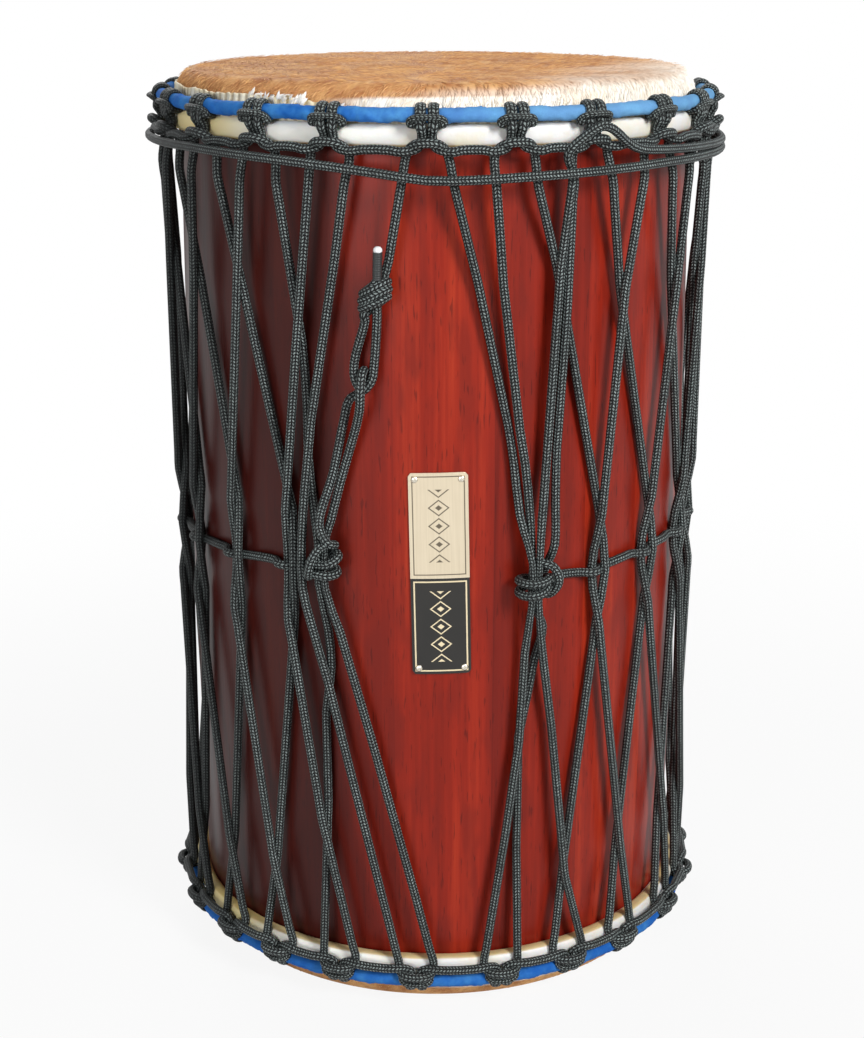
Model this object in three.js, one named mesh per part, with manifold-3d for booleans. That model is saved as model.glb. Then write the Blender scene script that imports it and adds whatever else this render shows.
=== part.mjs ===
// Sangban: the middle drum of a rope-tuned West African dunun set.
// Millimetres, +Z up, origin on the floor under the drum's centre, front towards -Y.
import * as THREE from 'three';
import { mergeVertices } from 'three/addons/utils/BufferGeometryUtils.js';
import Module from 'manifold-3d';

const wasm = await Module();
wasm.setup();

// Overall
const drumHeight = 588;          // over both hides
const seat = 0.3;                // bare gap where two pieces touch
const facets = 28;               // flat sides of every turned piece

// Wooden shell
const shellEndRadius = 164.4;    // outside, where the straight side meets the rounded edge
const shellBelly = 2.6;          // how far the middle swells past the ends
const shellWall = 13.4;
const edgeRoundWidth = 11;       // bearing edge, measured inwards
const edgeRoundHeight = 15;      // bearing edge, measured along the shell
const innerBevel = 3;

// Hides and the steel in their folds
const hideThickness = 1.3;
const hoopRodRadius = 3;
const fringeHeight = 6;          // trimmed edge standing past the pull ring's centre line
const fringeStart = 5.4;         // where the edge leaves the fold, past the hoop's centre line

// Pull rings: steel rod, cloth strip
const ringRodRadius = 2.9;
const ringClothThickness = 0.8;
const ringClothSlit = 70;        // degrees left open along the inner side of the cloth

// Ropes
const ropeRadius = 2.75;
const ropeSides = 4;
const ropeGap = 0.4;             // least air between two strands
const flattenedRope = 3.4;       // thickness left where a strand is squeezed behind the pull ring
const pressedRope = 4;           // thickness left where two strands share a coil
const hitchCount = 22;
const hitchStrand = 3.5;         // half the spacing of a hitch's two strands
const hitchReach = 7.8;          // strand's centre line, from the ring's centre line
const hitchSpread = 2.5;         // how far the strands part between the ring and the fold

// Each end of the drum. Heights are counted from the pull ring's centre towards the drum's
// middle, and out is counted from the pull ring's radius. The nudges are degrees by which the
// front hitches sit off their even places.
const top = {
  side: 1,
  hidePastRing: 16.5,
  ringToHoop: 11.5,
  phase: -1.6,
  nudges: { 3: -0.3, 4: 1.4, 19: -1.3, 20: -2.2, 21: -2.6, 2: -1.5 },
  span: { aside: 12.5, out: 4, height: 22.5 },
  band: { out: 2.2, height: 13 },
  exit: { aside: 9.8, out: 2.9, height: 7.3 },
  bar: { aside: 6.2, out: 13, height: 4.4 },
  leg: { aside: 12, out: -3, height: 21 },
  shoulder: { aside: 15.8, out: 2, height: 15 },
  arch: { aside: 7.6, out: 9.4, height: 14.8 },
};
const bottom = {
  side: -1,
  hidePastRing: 22,
  ringToHoop: 9.2,
  phase: -2.8,
  nudges: { 0: -1.2, 1: 0.4, 2: -0.3, 3: -0.3, 4: 1.5, 20: -1.2, 21: -1.6 },
  span: { aside: 12.5, out: 7.6, height: 15 },
  band: { out: 2.8, height: 10 },
  exit: { aside: 9.6, out: 2.9, height: 7.4 },
  bar: { aside: 6.5, out: 13.6, height: 2 },
  leg: { aside: 10, out: -0.8, height: 17 },
  shoulder: { aside: 15.5, out: 4.3, height: 8.8 },
  arch: { aside: 7, out: 11.8, height: 10 },
};

// Lacing between the hitches: depths are counted down from the top pull ring
const collarDepth = 40;          // where the legs have passed under the collar rope
const firstCrossingDepth = 105;
const firstCrossingAside = 9.4;  // degrees past the hitch
const waistDepth = 282;          // level of the waist turn, which climbs a little to its first knot
const waistClimbs = { 18: 2, 19: 4.5, 20: 7 };
const waistLead = 4;             // degrees that the waist twists lie ahead of the top hitches
const waistNudges = { 2: 0.9, 20: -0.9 };
const twistAbove = 32;
const twistBelow = 34;
const twistHalfWidth = 5.2;       // to each side, level with the waist turn
const twistHalfCross = 1.4;       // to each side, where the legs have just crossed
const lastCrossingDepth = 454;
const lastCrossingAside = 1;     // degrees before the hitch
const crossingLift = 2.2;        // the shell swells between one crossing and the next
const twistLift = 0.7;           // and less between a crossing and the waist
const weaveHalf = 3.2;           // half the width in which the waist turn changes sides
const collarStart = { hitch: 3, depth: 29 };
const collarEnd = { hitch: 32, depth: 37 };
const collarSag = 16;            // hitches over which the collar rope sinks to its lowest level

// Coils of rope that make the knots
const coilSides = 8;
const coilReach = 6.7;           // round one strand
const pairReach = 8.4;           // round two pressed strands
const trioReach = 9.4;           // round two pressed strands with a third behind them

// Name plate and its nails
const plateWidth = 36;
const plateHeight = 129;
const plateThickness = 1;
const plateCentreHeight = 297;
const plateTurn = 0.9;           // degrees round from the front
const plateLean = 1.2;           // degrees, top leaning to the left
const nailInset = 4;
const nailHeadRadius = 2;
const nailHeadHeight = 1.3;
const nailShankRadius = 0.8;
const nailLength = 9;
const nailPointLength = 1.5;
const nailHoleSpare = 2;         // the hole goes deeper than the nail
const nailSides = 6;

// Sizes that follow from the ones above
const hideSideRadius = shellEndRadius + seat + hideThickness;
const foldedHideRadius = hideSideRadius + seat + hideThickness;
const ringSectionRadius = ringRodRadius + seat + ringClothThickness;
const pullRingRadius = foldedHideRadius + 2 * seat + flattenedRope + ringSectionRadius;
const hoopRadius = hideSideRadius + seat + hoopRodRadius;
const foldRadius = hoopRodRadius + seat + hideThickness;
const crestHeight = hideThickness + seat;
const shellInnerRadius = shellEndRadius - shellWall;
const edgeCentreRadius = shellEndRadius - edgeRoundWidth;
const shellBellyRadius = shellEndRadius + shellBelly;
const ropeStep = 2 * ropeRadius + ropeGap;
const ropeOnShell = shellBellyRadius + seat + ropeRadius;

// Lifts of a rope's centre line over a rope that lies on the shell
const near = 0;
const far = ropeStep;
const behindLeg = near + crossingLift;
const inFrontLeg = far + crossingLift;
const underCollar = pullRingRadius + top.leg.out - ropeOnShell;
const overCollar = underCollar + ropeStep + 2 * seat;
const hitchPitch = 360 / hitchCount;

function ringHeight(end) {
  return end.side > 0 ? drumHeight - end.hidePastRing : end.hidePastRing;
}

function heightAt(end, inwards) {
  return ringHeight(end) - end.side * inwards;
}

function radians(degrees) {
  return THREE.MathUtils.degToRad(degrees);
}

// Materials
function finish(colour, roughness, metalness = 0) {
  return new THREE.MeshStandardMaterial({ color: colour, roughness, metalness });
}
const stainedWood = finish(0x96301f, 0.3);
const hide = finish(0xd9b68c, 0.8);
const steel = finish(0x8c8c88, 0.45, 1);
const blueCloth = finish(0x3a7fc4, 0.85);
const blackRope = finish(0x1c2122, 0.7);
const plateMetal = finish(0xcdbfa6, 0.35, 1);
const nailMetal = finish(0xc9c2b4, 0.3, 1);

// A profile in radius and height, turned round the drum's axis
function turned(profile) {
  const outline = profile.map(([radius, height]) => new THREE.Vector2(radius, height));
  return new THREE.LatheGeometry(outline, facets).rotateX(Math.PI / 2);
}

function arc(centreRadius, centreHeight, radius, angles) {
  return angles.map((degrees) => [
    centreRadius + radius * Math.cos(radians(degrees)),
    centreHeight + radius * Math.sin(radians(degrees)),
  ]);
}

function evenAngles(from, sweep, count) {
  const angles = [];
  for (let i = 0; i < count; i += 1) angles.push(from + (sweep * i) / (count - 1));
  return angles;
}

function closedLoop(points) {
  return [...points, points[0]];
}

// A turned piece at either end is drawn with heights counted outwards from the pull ring
function turnedAtEnd(end, outline) {
  const placed = outline.map(([radius, outwards]) => [radius, heightAt(end, -outwards)]);
  return turned(end.side > 0 ? placed : placed.reverse());
}

// Bearing edge, or a surface offset from it, from the shell's side round to the crest
const edgeAngles = [0, 30, 60, 90];
function bearingEdge(crest, offset) {
  return edgeAngles.map((degrees) => [
    edgeCentreRadius + (edgeRoundWidth + offset) * Math.cos(radians(degrees)),
    crest - edgeRoundHeight + (edgeRoundHeight + offset) * Math.sin(radians(degrees)),
  ]);
}

function shellGeometry() {
  const upperEdge = bearingEdge(drumHeight - crestHeight, 0);
  const lowerEdge = upperEdge.map(([radius, height]) => [radius, drumHeight - height]).reverse();
  const halfSide = drumHeight / 2 - crestHeight - edgeRoundHeight;
  const side = [-0.5, 0, 0.5].map((share) => [
    shellEndRadius + shellBelly * (1 - share * share),
    drumHeight / 2 + share * halfSide,
  ]);
  const bore = [
    [shellInnerRadius, drumHeight - crestHeight - innerBevel],
    [shellInnerRadius, crestHeight + innerBevel],
  ];
  return turned(closedLoop([...lowerEdge, ...side, ...upperEdge, ...bore]));
}

// Hide: over the edge, down the side, round the hoop, and its trimmed edge up behind the ring
const foldAngles = [180, 240, 300, 360, 410];
function hideGeometry(end) {
  const crest = end.hidePastRing - crestHeight;
  const hoopHeight = -end.ringToHoop;
  const fleshSide = [
    [0, end.hidePastRing - hideThickness],
    ...bearingEdge(crest, seat).reverse(),
    ...arc(hoopRadius, hoopHeight, foldRadius, foldAngles),
    [foldedHideRadius, hoopHeight + fringeStart + hideThickness],
    [foldedHideRadius, fringeHeight],
  ];
  const hairSide = [
    [hideSideRadius + seat, fringeHeight],
    [hideSideRadius + seat, hoopHeight + fringeStart],
    ...arc(hoopRadius, hoopHeight, hoopRodRadius + seat, foldAngles).reverse(),
    ...bearingEdge(crest, seat + hideThickness),
    [0, end.hidePastRing],
  ];
  return turnedAtEnd(end, [...fleshSide, ...hairSide]);
}

function hoopGeometry(end) {
  const section = arc(hoopRadius, -end.ringToHoop, hoopRodRadius, [0, 60, 120, 180, 240, 300]);
  return turnedAtEnd(end, closedLoop(section));
}

// The cloth's seam is left open along the inner side of the pull ring
const clothSweep = 360 - ringClothSlit;
const clothAngles = evenAngles(-clothSweep / 2, clothSweep, 6);

function ringRodGeometry(end) {
  return turnedAtEnd(end, closedLoop(arc(pullRingRadius, 0, ringRodRadius, clothAngles)));
}

function ringClothGeometry(end) {
  const outer = arc(pullRingRadius, 0, ringSectionRadius, clothAngles);
  const inner = arc(pullRingRadius, 0, ringSectionRadius - ringClothThickness, clothAngles);
  return turnedAtEnd(end, closedLoop([...outer, ...inner.reverse()]));
}

// A place round the drum: degrees from the front, radius and height.
// The radius follows the flat sides of the turned pieces.
function place(degrees, radius, height) {
  const facet = (2 * Math.PI) / facets;
  const fromMiddle = THREE.MathUtils.euclideanModulo(radians(degrees), facet) - facet / 2;
  const flat = (radius * Math.cos(facet / 2)) / Math.cos(fromMiddle);
  return new THREE.Vector3(
    flat * Math.sin(radians(degrees)),
    -flat * Math.cos(radians(degrees)),
    height,
  );
}

function outwardsAt(degrees) {
  return place(degrees, 1, 0).normalize();
}

function degreesFor(arcLength) {
  return THREE.MathUtils.radToDeg(arcLength / pullRingRadius);
}

function hitchAngle(end, index) {
  const nudge = end.nudges[THREE.MathUtils.euclideanModulo(index, hitchCount)] ?? 0;
  return end.phase + hitchPitch * index + nudge;
}

// A station of a rope: its place and, where the rope is squeezed, in which direction and how thin
function station(at, squeeze = null) {
  return { at, squeeze };
}

function tangentsAlong(stations, closed) {
  const count = stations.length;
  return stations.map((here, i) => {
    const before = stations[closed ? (i - 1 + count) % count : Math.max(i - 1, 0)];
    const after = stations[closed ? (i + 1) % count : Math.min(i + 1, count - 1)];
    const arriving = here.at.clone().sub(before.at).normalize();
    const leaving = after.at.clone().sub(here.at).normalize();
    return arriving.add(leaving).normalize();
  });
}

// Directions across the rope, carried from station to station without twist
function carriedNormals(tangents) {
  const up = new THREE.Vector3(0, 0, 1);
  const across = Math.abs(tangents[0].z) > 0.9 ? new THREE.Vector3(1, 0, 0) : up;
  const normals = [across.clone().cross(tangents[0]).normalize()];
  for (let i = 1; i < tangents.length; i += 1) {
    const turn = new THREE.Quaternion().setFromUnitVectors(tangents[i - 1], tangents[i]);
    const carried = normals[i - 1].clone().applyQuaternion(turn);
    normals.push(carried.addScaledVector(tangents[i], -carried.dot(tangents[i])).normalize());
  }
  return normals;
}

// Turn that makes the last section of a closed rope meet the first one
function closingTwist(tangents, normals) {
  const last = tangents.length - 1;
  const turn = new THREE.Quaternion().setFromUnitVectors(tangents[last], tangents[0]);
  const arriving = normals[last].clone().applyQuaternion(turn);
  const across = tangents[0].clone().cross(normals[0]);
  const side = (2 * Math.PI) / ropeSides;
  const missing = -Math.atan2(arriving.dot(across), arriving.dot(normals[0]));
  return missing - side * Math.round(missing / side);
}

function ropeGeometry(stations, closed = false) {
  const count = stations.length;
  const tangents = tangentsAlong(stations, closed);
  const normals = carriedNormals(tangents);
  const twist = closed ? closingTwist(tangents, normals) : 0;
  const positions = [];
  stations.forEach((here, i) => {
    const across = tangents[i].clone().cross(normals[i]);
    for (let k = 0; k < ropeSides; k += 1) {
      const angle = (2 * Math.PI * (k + 0.5)) / ropeSides + (twist * i) / count;
      const offset = normals[i].clone().multiplyScalar(ropeRadius * Math.cos(angle));
      offset.addScaledVector(across, ropeRadius * Math.sin(angle));
      if (here.squeeze) {
        const kept = Math.min(1, here.squeeze.thickness / (2 * ropeRadius));
        const along = offset.dot(here.squeeze.direction);
        offset.addScaledVector(here.squeeze.direction, along * (kept - 1));
      }
      positions.push(...here.at.clone().add(offset).toArray());
    }
  });
  const closingShift = closed ? sectionShift(positions, count) : 0;
  const faces = [];
  for (let i = 0; i < (closed ? count : count - 1); i += 1) {
    const here = i * ropeSides;
    const next = ((i + 1) % count) * ropeSides;
    const shift = i + 1 === count ? closingShift : 0;
    for (let k = 0; k < ropeSides; k += 1) {
      const k2 = (k + 1) % ropeSides;
      const far = next + ((k + shift) % ropeSides);
      const far2 = next + ((k2 + shift) % ropeSides);
      faces.push(here + k, here + k2, far);
      faces.push(here + k2, far2, far);
    }
  }
  if (!closed) {
    const last = (count - 1) * ropeSides;
    for (let k = 1; k < ropeSides - 1; k += 1) {
      faces.push(0, k + 1, k);
      faces.push(last, last + k, last + k + 1);
    }
  }
  const geometry = new THREE.BufferGeometry();
  geometry.setAttribute('position', new THREE.Float32BufferAttribute(positions, 3));
  geometry.setIndex(faces);
  return geometry;
}

// Which corner of the first section lies nearest to the first corner of the last one
function sectionShift(positions, count) {
  const corner = (index) => new THREE.Vector3().fromArray(positions, index * 3);
  const lastCorner = corner((count - 1) * ropeSides);
  let nearest = 0;
  for (let k = 1; k < ropeSides; k += 1) {
    const better = corner(k).distanceTo(lastCorner) < corner(nearest).distanceTo(lastCorner);
    if (better) nearest = k;
  }
  return nearest;
}

// Cow hitch on a pull ring: up the front, over, down behind, out under the ring, and across.
// Its angles run round the ring's section, from its outermost side towards the drum's middle.
const frontOfHitch = [28, -32, -92];
const backOfHitch = 3;           // where the strand turns flat behind the ring
function hitchStations(end, index) {
  const middle = hitchAngle(end, index);
  const outwards = outwardsAt(middle);
  const at = (aside, out, inwards) => place(
    middle + degreesFor(aside),
    pullRingRadius + out,
    heightAt(end, inwards),
  );
  const named = (hand, spot) => station(at(hand * spot.aside, spot.out, spot.height));
  const around = (hand, degrees) => station(at(
    hand * hitchStrand,
    hitchReach * Math.cos(radians(degrees)),
    hitchReach * Math.sin(radians(degrees)),
  ));
  const toHoop = new THREE.Vector2(hoopRadius - pullRingRadius, end.ringToHoop);
  const channel = toHoop.length() - foldRadius - ringSectionRadius;
  const squeezed = (aside, angle) => {
    const reach = ringSectionRadius + channel / 2;
    const direction = outwards.clone().multiplyScalar(Math.cos(angle));
    direction.z = -end.side * Math.sin(angle);
    return station(
      at(aside, reach * Math.cos(angle), reach * Math.sin(angle)),
      { direction, thickness: channel - 2 * seat },
    );
  };
  const behind = -(ringSectionRadius + seat + flattenedRope / 2);
  const flat = { direction: outwards, thickness: flattenedRope };
  const half = (hand) => [
    named(hand, end.span),
    named(hand, { aside: hitchStrand, ...end.band }),
    ...frontOfHitch.map((degrees) => around(hand, degrees)),
    station(at(hand * hitchStrand, behind, -backOfHitch), flat),
    squeezed(hand * (hitchStrand + 0.3 * hitchSpread), radians(150)),
    squeezed(hand * (hitchStrand + hitchSpread), toHoop.angle()),
    named(hand, end.exit),
    named(hand, end.bar),
  ];
  return [...half(-1), ...half(1).reverse()];
}

function cradleStations(end) {
  const stations = [];
  for (let i = 0; i < hitchCount; i += 1) stations.push(...hitchStations(end, i));
  return stations;
}

// Lacing bight: behind the span, up beside the hitch, across in front of its two strands
function bightStations(end, index) {
  const middle = hitchAngle(end, index);
  const half = (hand) => [end.leg, end.shoulder, end.arch].map((spot) => station(place(
    middle + degreesFor(hand * spot.aside),
    pullRingRadius + spot.out,
    heightAt(end, spot.height),
  )));
  return [...half(-1), ...half(1).reverse()];
}

// Places on the drum's side: degrees from the front, lift, and depth below the top pull ring
function onSide(degrees, lift, depth) {
  return place(degrees, ropeOnShell + lift, heightAt(top, depth));
}

function route(points) {
  return points.map(([degrees, lift, depth]) => station(onSide(degrees, lift, depth)));
}

// Strands side by side inside a coil are pressed narrower
function pressed(degrees, lift, depth, direction) {
  return station(onSide(degrees, lift, depth), { direction, thickness: pressedRope });
}

function pressedSideways(degrees, lift, depth) {
  const outwards = outwardsAt(degrees);
  return pressed(degrees, lift, depth, new THREE.Vector3(-outwards.y, outwards.x, 0));
}

function pressedFlat(degrees, lift, depth) {
  return pressed(degrees, lift, depth, outwardsAt(degrees));
}

// Turns of rope round upright strands. Angles run from the right side over the front.
function coil({ centre, reach, depth, climb, from, sweep }) {
  const points = [];
  const steps = Math.round((Math.abs(sweep) * coilSides) / 360);
  for (let i = 0; i <= steps; i += 1) {
    const angle = radians(from + (sweep * i) / steps);
    points.push([
      centre + degreesFor(reach * Math.cos(angle)),
      reach + reach * Math.sin(angle),
      depth + (climb * i) / steps,
    ]);
  }
  return points;
}

// Least air between the turns of a coil, measured on points along its centre line
const pointsPerStep = 4;
function leastGap(turns) {
  const corners = turns.map(([degrees, lift, depth]) => onSide(degrees, lift, depth));
  const points = [];
  for (let i = 0; i + 1 < corners.length; i += 1) {
    for (let k = 0; k < pointsPerStep; k += 1) {
      points.push(corners[i].clone().lerp(corners[i + 1], k / pointsPerStep));
    }
  }
  const halfTurn = (pointsPerStep * coilSides) / 2;
  let least = Infinity;
  points.forEach((point, i) => {
    for (const other of points.slice(i + halfTurn)) {
      least = Math.min(least, point.distanceTo(other) - 2 * ropeRadius);
    }
  });
  return least;
}

// One leg of each hitch leans left and runs in front, the other leans right and runs behind.
// They cross below the top hitches, twist round each other at the waist, and cross again.
const evenly = (index) => THREE.MathUtils.euclideanModulo(index, hitchCount);
const twistAt = (index) => (
  top.phase + hitchPitch * index + waistLead + (waistNudges[evenly(index)] ?? 0)
);
const waistAt = (index) => waistDepth - (waistClimbs[evenly(index)] ?? 0);
const firstCrossingAt = (index) => hitchAngle(top, index) + firstCrossingAside;
const lastCrossingAt = (index) => hitchAngle(bottom, index) - lastCrossingAside;
const legSide = degreesFor(top.leg.aside);
const twistSide = degreesFor(twistHalfWidth);
const crossSide = degreesFor(twistHalfCross);

function rightLeaningWaist(index) {
  return [
    [twistAt(index) + crossSide, near + twistLift, waistAt(index) - twistAbove],
    [twistAt(index) + twistSide, far, waistAt(index)],
    [twistAt(index) + crossSide, near + twistLift, waistAt(index) + twistBelow],
  ];
}

function leftLeaningWaist(index) {
  return [
    [twistAt(index) - crossSide, far + twistLift, waistAt(index) - twistAbove],
    [twistAt(index) - twistSide, near, waistAt(index)],
    [twistAt(index) - crossSide, far + twistLift, waistAt(index) + twistBelow],
  ];
}

function rightLeaningLeg(index) {
  return route([
    [hitchAngle(top, index) + legSide + 0.5, underCollar, collarDepth],
    [firstCrossingAt(index), behindLeg, firstCrossingDepth],
    ...rightLeaningWaist(index + 1),
    [lastCrossingAt(index + 1), behindLeg, lastCrossingDepth],
  ]);
}

function leftLeaningLeg(index) {
  return route([
    [hitchAngle(top, index) - legSide - 0.3, underCollar, collarDepth],
    [firstCrossingAt(index - 1), inFrontLeg, firstCrossingDepth],
    ...leftLeaningWaist(index - 1),
    [lastCrossingAt(index), inFrontLeg, lastCrossingDepth],
  ]);
}

// The knots on the front: where they sit, in degrees and depth
const loopKnot = { centre: -11.2, depth: 94, strand: coilReach };
const tailKnot = { centre: -22.9, depth: 261, strand: pairReach };
const beltKnot = { centre: 19.5, depth: 284, strand: trioReach };
const pairSide = degreesFor(pressedRope / 2 + seat);
const beltCoilStart = { centre: beltKnot.centre - 360, depth: beltKnot.depth - 4 };
const loopCoil = coil({ ...loopKnot, reach: coilReach, climb: 12, from: 135, sweep: -675 });
const tailCoil = coil({ ...tailKnot, reach: pairReach, climb: 13, from: 150, sweep: -600 });
const beltCoil = coil({ ...beltCoilStart, reach: trioReach, climb: 17, from: -45, sweep: -630 });
for (const [name, turns] of Object.entries({ loopCoil, tailCoil, beltCoil })) {
  console.log(`${name}: least gap ${leastGap(turns).toFixed(2)} mm`);
}

// The lacing starts as a tip pointing up, is coiled round its own leg, and makes a loop
const startOfLacing = route([
  [-13.2, 12, 76],
  [-13, 12, 86],
  ...loopCoil,
  [-13.6, 5, 114],
  [-16, 3, 142.6],
  [-15.6, 5.6, 153],
  [-14, 6.8, 158.5],
  [-12.4, 5.6, 153],
  [-12, 3, 143],
  [-11.2, 5, 114],
  [loopKnot.centre, loopKnot.strand, 106],
  [loopKnot.centre, loopKnot.strand, 92],
  [-9.6, 5, 82],
  [-6.4, underCollar, collarDepth],
]);

// Legs beside the plate are pulled aside, which leaves it in view
const rightOf = {
  0: [
    ...route([
      [3.4, underCollar, collarDepth],
      [8.3, 1, 97],
      [14.8, near, 184],
      [15.9, 0.6, 205],
      [17, 3.4, 237],
    ]),
    pressedSideways(beltKnot.centre - pairSide, beltKnot.strand + 2.3, 270),
    pressedSideways(beltKnot.centre - pairSide, beltKnot.strand + 2.3, 300),
    ...route([
      [18.4, far, 325],
      [17.4, far, 385],
      [14.6, 5, 450],
    ]),
  ],
  1: route([
    [hitchAngle(top, 1) + legSide + 0.5, underCollar, collarDepth],
    [24.1, behindLeg, 87],
    [26, behindLeg, 112],
    ...rightLeaningWaist(2),
    [lastCrossingAt(2), behindLeg, lastCrossingDepth],
  ]),
  20: route([
    [hitchAngle(top, -2) + legSide + 0.5, underCollar, collarDepth],
    [-27.8, near, 135],
    [-26.9, near, 172],
    [-26.9, near, 205],
    [-25.6, 1.4, 236],
  ]).concat(
    pressedSideways(tailKnot.centre - pairSide, tailKnot.strand, 256),
    pressedSideways(tailKnot.centre - pairSide, tailKnot.strand, 282),
    route([
      [-22.6, 2.5, 312],
      [-22.4, near, 338],
      [-23.8, near, 370],
      [-23.7, near, 430],
    ]),
  ),
  21: route([
    [-18.6, underCollar, collarDepth],
    [-21.1, 3, 79],
    [-25.2, far, 180],
    [-26.6, 7, 225],
    [-27.3, 8, 258],
    [-27.3, 8, 286],
    [-25.8, 7, 308],
    [-22.6, far, 346],
    [-15.8, 4, 433],
  ]),
};
const leftOf = {
  1: [
    ...route([
      [hitchAngle(top, 1) - legSide + 0.3, underCollar, collarDepth],
      [13, 4, 97],
      [16.6, far, 184],
      [17.8, far, 205],
      [19.1, 3.6, 237],
    ]),
    pressedFlat(beltKnot.centre, beltKnot.strand - 3.1, 270),
    pressedFlat(beltKnot.centre, beltKnot.strand - 3.1, 298),
    ...route([
      [22.6, 2, 311],
      [21.2, near, 332],
      [17.8, near, 385],
      [17.6, 1, 460],
    ]),
  ],
  2: [
    ...route([
      [hitchAngle(top, 2) - legSide - 0.3, underCollar, collarDepth],
      [24.3, inFrontLeg, 87],
      [22.3, far, 207],
      [21.2, 7.6, 240],
    ]),
    pressedSideways(beltKnot.centre + pairSide, beltKnot.strand + 2.3, 270),
    pressedSideways(beltKnot.centre + pairSide, beltKnot.strand + 2.3, 300),
    ...route([
      [22, 7.4, 330],
      [24.6, far, 378],
      [28.2, inFrontLeg + ropeGap, lastCrossingDepth + 6],
    ]),
  ],
  21: route([
    [hitchAngle(top, -1) - legSide - 0.3, underCollar, collarDepth],
    [-27.8, inFrontLeg, 135],
    ...leftLeaningWaist(-2),
    [-24.2, inFrontLeg, 440],
  ]),
};

// Tail of the lacing: up from the last hitch, through the loop, and down to its knot
const tailUp = [
  ...route([
    [-4.6, 4, 485],
    [-12.6, 4, 390],
    [-19.6, 5.5, 312],
  ]),
  pressedSideways(tailKnot.centre + pairSide, tailKnot.strand, 284),
  pressedSideways(tailKnot.centre + pairSide, tailKnot.strand, 256),
  ...route([
    [-21, 6, 240],
    [-19.1, 4, 216],
    [-15.6, 6, 182],
    [-14.2, 11.6, 168],
    [-13.9, 13.4, 158],
    [-13.9, 10, 149.5],
    [-14, 3.6, 147.5],
    [-14.2, 0.4, 154],
    [-15.6, 0.3, 164],
    [-18.4, 2, 168],
    [-19.8, 3.4, 184],
    [-21.2, 5, 214],
    [-23, 12.4, 243],
  ]),
];

// The waist turn leaves the tail's knot to the left, weaves round the drum, and ends in a coil
function waistTurn() {
  const first = -2;
  const last = 2 - hitchCount;
  const weave = degreesFor(weaveHalf);
  const points = [
    ...tailCoil,
    [tailKnot.centre - 3.6, near + seat, waistAt(first)],
  ];
  for (let i = first; i >= last; i -= 1) {
    const depth = waistAt(i);
    points.push([twistAt(i) + weave, near, depth]);
    points.push([twistAt(i) - weave, far, depth]);
    points.push([twistAt(i) - 2.4 * weave, far, depth]);
    points.push([twistAt(i) - 4.4 * weave, near, depth]);
    if (i > last) points.push([twistAt(i) - hitchPitch / 2, near + twistLift, depth]);
  }
  points.push([beltCoilStart.centre + 6.2, near, waistDepth - 2]);
  points.push(...beltCoil);
  return route(points);
}

function lacingStations() {
  const stations = [...startOfLacing];
  for (let i = 0; i < hitchCount; i += 1) {
    stations.push(...bightStations(top, i));
    stations.push(...(rightOf[i] ?? rightLeaningLeg(i)));
    stations.push(...bightStations(bottom, i + 1));
    if (i + 1 < hitchCount) {
      stations.push(...[...(leftOf[i + 1] ?? leftLeaningLeg(i + 1))].reverse());
    }
  }
  stations.push(...tailUp, ...waistTurn());
  return stations;
}

// Collar rope: up from the waist knot, over the third hitch, then round outside the legs
function collarStations() {
  const points = [
    [24.8, 8.4, 266],
    [24.8, 7.4, 240],
    [24.5, far, 207],
    [26, inFrontLeg, 112],
    [27.4, underCollar, 48],
    [27.8, underCollar, 38],
    [29.6, 5, 31],
    [33.5, overCollar, 28.6],
  ];
  for (let i = collarStart.hitch; i < collarEnd.hitch; i += 0.5) {
    const share = Math.min(1, (i - collarStart.hitch) / collarSag);
    const depth = THREE.MathUtils.lerp(collarStart.depth, collarEnd.depth, share);
    points.push([hitchAngle(top, i), overCollar, depth]);
  }
  return route(points);
}

// Solids for cutting: only positions are kept, and shared corners are merged
function solidOf(geometry) {
  const bare = geometry.clone();
  bare.deleteAttribute('normal');
  bare.deleteAttribute('uv');
  const merged = mergeVertices(bare, 1e-4);
  return new wasm.Manifold(new wasm.Mesh({
    numProp: 3,
    vertProperties: new Float32Array(merged.attributes.position.array),
    triVerts: new Uint32Array(merged.index.array),
  }));
}

function geometryOf(solid) {
  const mesh = solid.getMesh();
  const geometry = new THREE.BufferGeometry();
  geometry.setAttribute('position', new THREE.Float32BufferAttribute(mesh.vertProperties, 3));
  geometry.setIndex(Array.from(mesh.triVerts));
  return geometry;
}

// Places on the plate: across and up from its middle, along the shell's surface
function onPlate(across, up, radius) {
  const lean = radians(plateLean);
  const along = across * Math.cos(lean) - up * Math.sin(lean);
  const height = plateCentreHeight + up * Math.cos(lean) + across * Math.sin(lean);
  const degrees = plateTurn + THREE.MathUtils.radToDeg(along / shellBellyRadius);
  return place(degrees, radius, height);
}

function plateGeometry() {
  const acrossSteps = Math.ceil(plateWidth / 6);
  const inner = shellBellyRadius + seat;
  const positions = [];
  for (const radius of [inner, inner + plateThickness]) {
    for (const up of [-plateHeight / 2, plateHeight / 2]) {
      for (let i = 0; i <= acrossSteps; i += 1) {
        const across = plateWidth * (i / acrossSteps - 0.5);
        positions.push(...onPlate(across, up, radius).toArray());
      }
    }
  }
  const row = acrossSteps + 1;
  const faces = [];
  const quad = (a, b, c, d) => faces.push(a, b, c, a, c, d);
  for (let i = 0; i < acrossSteps; i += 1) {
    quad(i, row + i, row + i + 1, i + 1);
    quad(2 * row + i, 2 * row + i + 1, 3 * row + i + 1, 3 * row + i);
    quad(i, i + 1, 2 * row + i + 1, 2 * row + i);
    quad(row + i, 3 * row + i, 3 * row + i + 1, row + i + 1);
  }
  quad(0, 2 * row, 3 * row, row);
  quad(row - 1, 2 * row - 1, 4 * row - 1, 3 * row - 1);
  const geometry = new THREE.BufferGeometry();
  geometry.setAttribute('position', new THREE.Float32BufferAttribute(positions, 3));
  geometry.setIndex(faces);
  return geometry;
}

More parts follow.
